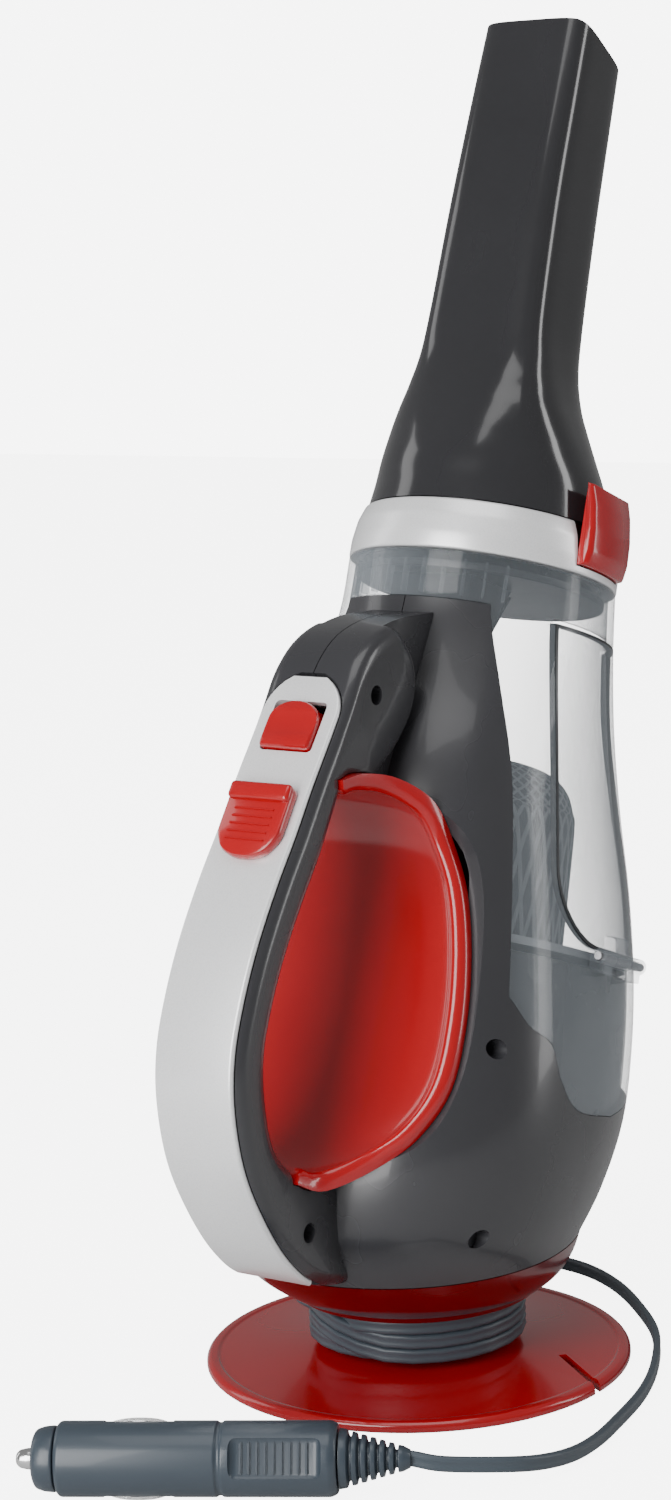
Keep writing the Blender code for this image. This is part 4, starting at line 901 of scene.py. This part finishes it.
def makeLiner():
    steps = 5
    face = linerLine(0.0, steps)
    halves = [row[0] for row in smoothRows([row[2:] for row in linerFace], steps)]
    travelled = [0.0]
    for a, b in zip(face, face[1:]):
        travelled.append(travelled[-1] + (b - a).length)
    edge = [0.0, 0.5, 1.2, 2.0, 3.0, 4.0, 4.8, 5.5, 6.0, 7.0, 9.0]     # distances in from the edge
    rings = []
    for i, point in enumerate(face):
        normal = leftOf(runAt(face, i))
        ends = min(travelled[i], travelled[-1] - travelled[i])
        half = halves[i] + scoop["reach"] * min(1.0, ends / 30.0)
        across = [half - e for e in edge] + [(half - 9.0) * k / 4 for k in (3, 2, 1)]
        across = [-y for y in across] + [0.0] + across[::-1]
        ring = []
        for y in across:
            inwards = min(half - abs(y), ends)
            share = min(1.0, inwards / scoop["rimWidth"])
            bead = scoop["rimRise"] * math.sin(math.pi * share) ** 0.6 if share < 1.0 else 0.0
            dish = scoop["dish"] * min(1.0, max(0.0, inwards - scoop["rimWidth"]) / 10.0) ** 0.5
            p = point + normal * (dish - bead)
            ring.append((p.x, y, p.y))
        for y in (half, half / 2, -half / 2, -half):
            p = point + normal * body["liner"]
            ring.append((p.x, y, p.y))
        rings.append(ring)
    finish(skin("finger_scoop", rings), "body", "red", ("finger_liner",), 50.0)


makeLiner()
print("liner made")


def makeControls():
    half, proud, depth = body["stripHalf"], controls["proud"], controls["depth"]
    outline = filleted([(half, proud), (-half, proud), (-half, -depth), (half, -depth)], 0.9, 4, True)
    strip = stripBand("handle_strip", outline, *controls["strip"])
    upper, lower = stripFrame(controls["buttonHeight"]), stripFrame(controls["sliderHeight"])
    carve(strip, [block("window", *controls["window"], upper, 1.5),
                  block("slot", *controls["slot"], lower, 0.8)])
    finish(strip, "body", "silver", ("grip_strip",))

    arch = [(-8.5, -7.75), (8.5, -7.75)]
    for k in range(13):
        angle = math.radians(180.0 * k / 12)
        arch.append((8.5 * math.cos(angle), 1.6 + 6.1 * math.sin(angle)))
    rings = [[(x * s, y * s, z) for x, y in filleted(arch, 1.2, 2, True)]
             for z, s in ((-6.4, 1.0), (1.6, 1.0), (2.3, 0.985), (2.8, 0.94), (3.0, 0.86))]
    key = skin("release_key", rings, upper)
    over = upper @ Matrix.Translation(Vector((0, 0, 18.3)) * mm) @ Matrix.Rotation(math.pi / 2, 4, "Y")
    dish = rod("dish", 16.0, -14.0, 14.0, over, 96)
    flange = block("release_key_flange", (-9.6, -8.8, -7.7), (9.6, 8.8, -6.5), upper, 0.4)
    carve(key, [dish])
    finish(joined("release_key", [key, flange]), "button", "red", ("release_button",))

    outline = [(-10.5, 11.5), (-10.5, -4.5), (-7.6, -9.6), (-3.0, -11.5), (3.0, -11.5), (7.6, -9.6),
               (10.5, -4.5), (10.5, 11.5)]
    outline = filleted(outline, 2.2, 4, True)
    rings = [[(x * s, y * s, z) for x, y in outline]
             for z, s in ((1.1, 0.985), (1.5, 1.0), (3.4, 1.0), (4.1, 0.97), (4.4, 0.9))]
    cap = skin("power_key", rings, lower)
    ledge = block("power_key_ledge", (-10.4, 6.0, 2.0), (10.4, 11.4, 5.9), lower, 1.3, 4)
    stem = block("power_key_stem", (-4.6, -5.0, -5.4), (4.6, 5.0, 1.6), lower)
    grips = barRow("power_key_grips", lower @ Matrix.Rotation(math.radians(90.0), 4, "X")
                   @ Matrix.Translation(Vector((0.0, 4.3, -3.2)) * mm),
                   "red", 5, 0.0, 0.0, 0.0, 2.4, (14.0, 0.9, 0.9), 0.3)
    finish(joined("power_key", [cap, ledge, stem, grips]), "slider", "red", ("power_slider",))
    looksOnly("switch_body", "bodyGloss")
    looksOnly("button_spring", "steel")


makeControls()
print("handle made")


ring = {"height": 16.4, "catchTurn": 89.0, "catchWidth": 26.0}
# each section: level, middle, half depth, half width, and how square it is
nozzleSections = [
    (16.8, 0.0, 38.6, 38.6, 2.0), (24.0, -0.8, 37.0, 37.2, 2.0), (32.0, -2.8, 34.2, 35.0, 2.1),
    (40.0, -5.2, 30.0, 32.0, 2.3), (48.0, -7.2, 25.6, 28.6, 2.7), (56.0, -8.4, 22.0, 25.4, 3.2),
    (66.0, -8.8, 19.2, 22.7, 4.0), (80.0, -8.8, 18.2, 21.0, 5.0), (115.0, -8.4, 17.8, 20.0, 5.0),
    (150.0, -7.0, 16.8, 19.4, 5.0), (178.0, -5.6, 16.0, 18.8, 5.0)]


def nozzleRing(section, inset, count):
    level, centre, depth, width, square = section
    spots = []
    for k in range(count):
        angle = 2 * math.pi * (k + 0.5) / count
        spots.append(tuple(toolPoint(centre + squared(math.cos(angle), square) * (depth - inset),
                                     squared(math.sin(angle), square) * (width - inset), level)))
    return spots


def makeTop():
    top, half = ring["height"], ring["catchWidth"] / 2 + 0.3
    profile = [(39.4, top), (41.2, 11.5), (42.1, 5.5), (42.2, 0.3), (37.4, 0.3), (37.4, top)]
    band = lathe("silver_ring", filleted(profile, 0.9, 4, True), toolFrame(), roundSteps * 2, True)
    catchTurn = -math.radians(ring["catchTurn"])
    turned = toolFrame(turn=catchTurn)
    carve(band, [block("notch", (36.0, -half, 2.4), (50.0, half, 30.0), turned)])
    finish(band, "bowl", "silver", ("collar_ring",))

    outline = filleted([(39.8, 2.8), (43.4, 3.0), (44.3, 8.0), (44.1, 15.0), (42.9, 23.0), (41.4, 28.4),
                        (39.9, 28.5)], 1.0, 3, True)
    rings = []
    half = ring["catchWidth"] / 2
    for y, shrink in ((-half, 1.6), (-half + 0.5, 0.8), (-half + 1.8, 0.0), (half - 1.8, 0.0),
                      (half - 0.5, 0.8), (half, 1.6)):
        rings.append([(max(39.8, x - shrink) if x > 40 else x, y, z) for x, z in outline])
    key = skin("catch_key", rings, turned)
    well = toolFrame(along=10.0, turn=catchTurn) @ Matrix.Rotation(math.pi / 2, 4, "Y")
    carve(key, [rod("well", 3.1, 30.0, 42.6, well, 32)])
    finish(key, "catch", "red", ("door_catch",), 40.0)
    looksOnly("catch_spring", "steel")

    count = 144
    rows = smoothRows(nozzleSections, 8)
    outer = skin("nozzle_shell", [nozzleRing(row, 0.0, count) for row in rows])
    carve(outer, [rod("spigot", 37.0, 0.8, 20.0, toolFrame(), 96)], "UNION")
    hollow = skin("nozzleHollow", [nozzleRing(row, 2.4, count) for row in rows])
    carve(hollow, [rod("spigotHollow", 34.6, -3.0, 22.0, toolFrame(), 96)], "UNION")
    mouth = slab("mouth", [(-45.0, 175.0), (-20.0, 175.0), (12.0, 166.0), (40.0, 155.0), (40.0, 210.0),
                           (-45.0, 210.0)], -50.0, 50.0, True)
    carve(outer, [hollow])
    carve(outer, [mouth])
    finish(outer, "bowl", "nozzleGloss", ("nozzle",), 30.0)


makeTop()
print("top made")


bowl = {"left": -17.0, "topRight": 30.0, "footRight": 50.0, "corner": 22.0, "smallCorner": 8,
        "foot": -111.5, "doorSide": (-95.0, -6.0), "frameWidth": 1.0,
        "hinge": (-60.6, -113.6), "knuckles": (0.0, 8.2, 17.8, 26.0)}


def doorOutline(grow):
    left, right = bowl["left"] - grow, bowl["footRight"] + grow
    top, foot = -body["collar"] - 1.5 + grow, bowl["foot"] - grow
    radius, small = bowl["corner"], bowl["smallCorner"]
    outline = [(bowl["topRight"] + grow, top), (left, top)]
    outline += arcPoints(left + radius, foot + radius, radius, 180.0, 7.5, 13)
    return outline + arcPoints(right - small, foot + small, small, 270.0, 15.0, 7)


def doorSlab(name, grow):
    return slab(name, doorOutline(grow), *bowl["doorSide"], True)


def hingeFrame():
    place = Matrix.Translation(toolPoint(0.0, *bowl["hinge"]) * mm)
    return place @ Matrix.Rotation(tool["lean"], 4, "Y") @ Matrix.Rotation(math.pi / 2, 4, "Y")


def webBlock(low, high, inset, inwards, lowLevel, highLevel):
    v, w = bowl["hinge"]
    return block("web", (low + inset, v - 0.6 + inset, w + lowLevel),
                 (high - inset, v + inwards, w + highLevel), toolFrame())


def makeBowl():
    gap = tool["gap"]
    shell = egg("bowl", [0.0] * 10)
    carve(shell, [egg("inside", [body["bowlWall"]] * 10, 4.0)])
    carve(shell, [bowlZone("zone", -gap / 2)], "INTERSECT")
    below = slab("top", [(-130.0, -220.3), (150.0, -220.3), (150.0, -gap), (-130.0, -gap)],
                 -99.0, 99.0, True)
    carve(shell, [below], "INTERSECT")
    panel, edging = twin("side_door", shell), twin("door_edging", shell)
    carve(edging, [doorSlab("edge", -0.15)], "INTERSECT")
    carve(edging, [doorSlab("edgeInside", -bowl["frameWidth"])])
    finish(edging, "door", "smoke")
    carve(panel, [doorSlab("inDoor", -bowl["frameWidth"])], "INTERSECT")
    left, right = bowl["left"] - 1, bowl["topRight"] + 1
    seam = slab("seam", [(left, -17.2), (right, -17.2), (right, -15.3), (left, -15.3)],
                *bowl["doorSide"], True)
    carve(shell, [doorSlab("outDoor", gap), seam])
    a, b, c, d = bowl["knuckles"]
    seat = hingeFrame()
    for piece, spans, clear, webs in (
            (panel, ((b + gap, c - gap),), ((a - 1, b + 0.1), (c - 0.1, d + 1)),
             ((0.0, 1.9, -0.5, 3.2), (0.5, 4.7, 2.6, 7.0))),
            (shell, ((a, b), (c, d)), ((b + 0.05, c - 0.05),), ((0.0, 4.7, -5.0, 0.5),))):
        carve(piece, [rod("clear", 3.0, low, high, seat, 32) for low, high in clear])
        for low, high in spans:
            carve(piece, [rod("knuckle", 2.4, low, high, seat, 32)], "UNION")
            for web in webs:
                carve(piece, [webBlock(low, high, *web)], "UNION")
        carve(piece, [rod("pinHole", 1.5, a - 5, d + 5, seat, 24)])
    shell.name = "bowl_shell"
    finish(shell, "bowl", "clear", ("dust_bowl",), 30.0)
    finish(panel, "door", "clear", ("bowl_door",), 30.0)
    looksOnly("door_hinge_pin", "steel")
    ribs = barRow("collar_ribs", toolFrame(along=-7.6), "clear", 12, 38.6, 118.0, 9.5, 0.0,
                  (2.4, 0.9, 11.0), 0.2)
    finish(ribs, "bowl", "clear")


makeBowl()
print("bowl made")


def makeInlet():
    wedge = [(-29.0, -4.0), (-29.0, -36.0), (-24.0, -36.0), (-4.0, -4.0)]
    plate = lathe("inlet_plate", filleted([(0.0, -5.0), (39.0, -5.0), (39.0, -2.6), (0.0, -2.6)], 0.5, 3),
                  toolFrame(), 96)
    carve(plate, [slab("wedge", filleted(wedge, 1.5, 4, True), -14.0, 14.0, True)], "UNION")
    bore = [(-27.0, 5.0), (-27.0, -32.0), (-15.0, -32.0), (10.0, -5.8), (-5.5, -5.8), (-5.5, 5.0)]
    carve(plate, [slab("bore", bore, -12.0, 12.0, True)])
    finish(plate, "bowl", "smoke", ("inlet_duct",))
    flap = slab("rubber_flap", [(-4.2, -6.4), (-21.6, -34.0), (-20.3, -34.6), (-2.6, -6.4)],
                -13.2, 13.2, True)
    finish(flap, "flap", "rubber", ("inlet_flap",))


def makeFilter():
    level, radius, axis = body["seat"], 33.0, toolFrame(18.0)
    spine = body["spine"] + 0.6
    flange = egg("filter_flange", [body["bowlWall"] + 0.7] * 10)
    carve(flange, [slab("slice", [(spine, level + 2.2), (95.0, level + 2.2), (95.0, level + 4.6),
                                  (spine, level + 4.6)], -95.0, 95.0, True)], "INTERSECT")
    carve(flange, [rod("collar", 31.1, level + 3.0, level + 12.0, axis, 96)], "UNION")
    carve(flange, [rod("bore", 29.4, level - 5.0, level + 20.0, axis, 96)])
    finish(flange, "filter", "paleGrey", ("filter_frame",))
    base, top = level + 4.9, level + 62.9
    outside = [(0.0, top), (radius * 0.3, top - 0.4), (radius * 0.55, top - 1.7), (radius * 0.72, top - 4.0),
               (radius * 0.84, top - 8.0), (radius * 0.91, top - 13.5), (radius * 0.95, top - 20.0),
               (radius, base)]
    inside = [(radius - 1.1, base), (radius * 0.95 - 1.2, top - 20.0), (radius * 0.84 - 1.2, top - 8.6),
              (radius * 0.55 - 0.8, top - 3.0), (0.0, top - 1.6)]
    spots = [tuple(p) for p in catmull(outside, 5)] + inside
    finish(lathe("filter_screen", spots, axis), "filter", "screen", ("filter_mesh",), 40.0)
    folds = 28
    star = []
    for k in range(folds * 2):
        angle = math.pi * k / folds
        reach = 26.0 if k % 2 else 20.5
        star.append((reach * math.cos(angle), reach * math.sin(angle)))
    rings = [[(x, y, z) for x, y in star] for z in (level + 6.0, level + 46.0)]
    pleats = skin("pleated_filter", rings, axis)
    carve(pleats, [rod("bore", 14.0, level, level + 42.0, axis, 48)])
    finish(pleats, "filter", "fleece", ("inner_filter",), 20.0)
    looksOnly("filter_seal", "rubber")


makeInlet()
makeFilter()
for node, look in (("fan_cover", "grey"), ("fan_base", "grey"), ("fan_impeller", "grey"),
                   ("front_bearing", "steel"), ("rear_bearing", "steel"), ("motor_can", "steel"),
                   ("motor_end_cap", "bodyGloss"), ("motor_armature", "darkSteel"),
                   ("motor_magnets", "darkSteel"), ("motor_shaft", "chrome"), ("motor_mount", "rubber"),
                   ("plug_spring", "steel"), ("plug_fuse", "fuseGlass")):
    looksOnly(node, look)
print("filter and motor made")


# floor and lamps: strengths and watts
studio = {"world": 0.3, "backdrop": 7.0, "floor": 6.0,
          "strip": 17.0, "left": 2.0, "right": 4.5, "top": 6.0}


def softbox(name, place, target, size, energy):
    data = bpy.data.lights.new(name, "AREA")
    data.shape = "RECTANGLE"
    data.size, data.size_y = size
    data.energy = energy
    lamp = shown(bpy.data.objects.new(name, data))
    lamp.location = place
    lamp.rotation_euler = (Vector(target) - Vector(place)).to_track_quat("-Z", "Y").to_euler()


def around(azimuth, distance, height):     # azimuth 0 is at -Y, 90 at +X
    turn = math.radians(azimuth)
    return (0.01 + distance * math.sin(turn), -distance * math.cos(turn), height)


def makeStudio():
    bm = bmesh.new()
    bmesh.ops.create_grid(bm, x_segments=1, y_segments=1, size=3.0)
    floor = linked("floor", bm, recalc=False)
    material, tree = newMaterial("studio_sweep")
    path = addNode(tree, "ShaderNodeLightPath")     # the sweep looks white but throws little light back
    glow = addNode(tree, "ShaderNodeMath", {0: (path, "Is Camera Ray"), 1: studio["floor"]},
                   operation="MULTIPLY")
    floor.data.materials.append(surfaced(material, tree, {
        "Base Color": linear("#d8d8d8"), "Roughness": 0.7, "Emission Color": linear("#ffffff"),
        "Emission Strength": (glow, "Value")}))
    world = bpy.data.worlds.new("studio")
    bpy.context.scene.world = world
    world.use_nodes = True
    tree = world.node_tree
    path = addNode(tree, "ShaderNodeLightPath")
    strength = addNode(tree, "ShaderNodeMapRange", {
        "Value": (path, "Is Camera Ray"), "To Min": studio["world"], "To Max": studio["backdrop"]})
    tree.nodes["Background"].inputs["Color"].default_value = (1.0, 1.0, 1.0, 1.0)
    tree.links.new(strength.outputs["Result"], tree.nodes["Background"].inputs["Strength"])
    aim = (0.0, 0.0, 0.17)
    softbox("strip_box", around(-92.0, 1.1, 0.45), aim, (0.6, 1.0), studio["strip"])
    softbox("left_box", around(-165.0, 1.2, 0.5), aim, (0.3, 1.0), studio["left"])
    softbox("right_box", around(30.0, 1.3, 0.5), aim, (0.22, 1.1), studio["right"])
    softbox("top_box", (-0.3, -0.2, 1.5), aim, (0.9, 0.9), studio["top"])


makeStudio()
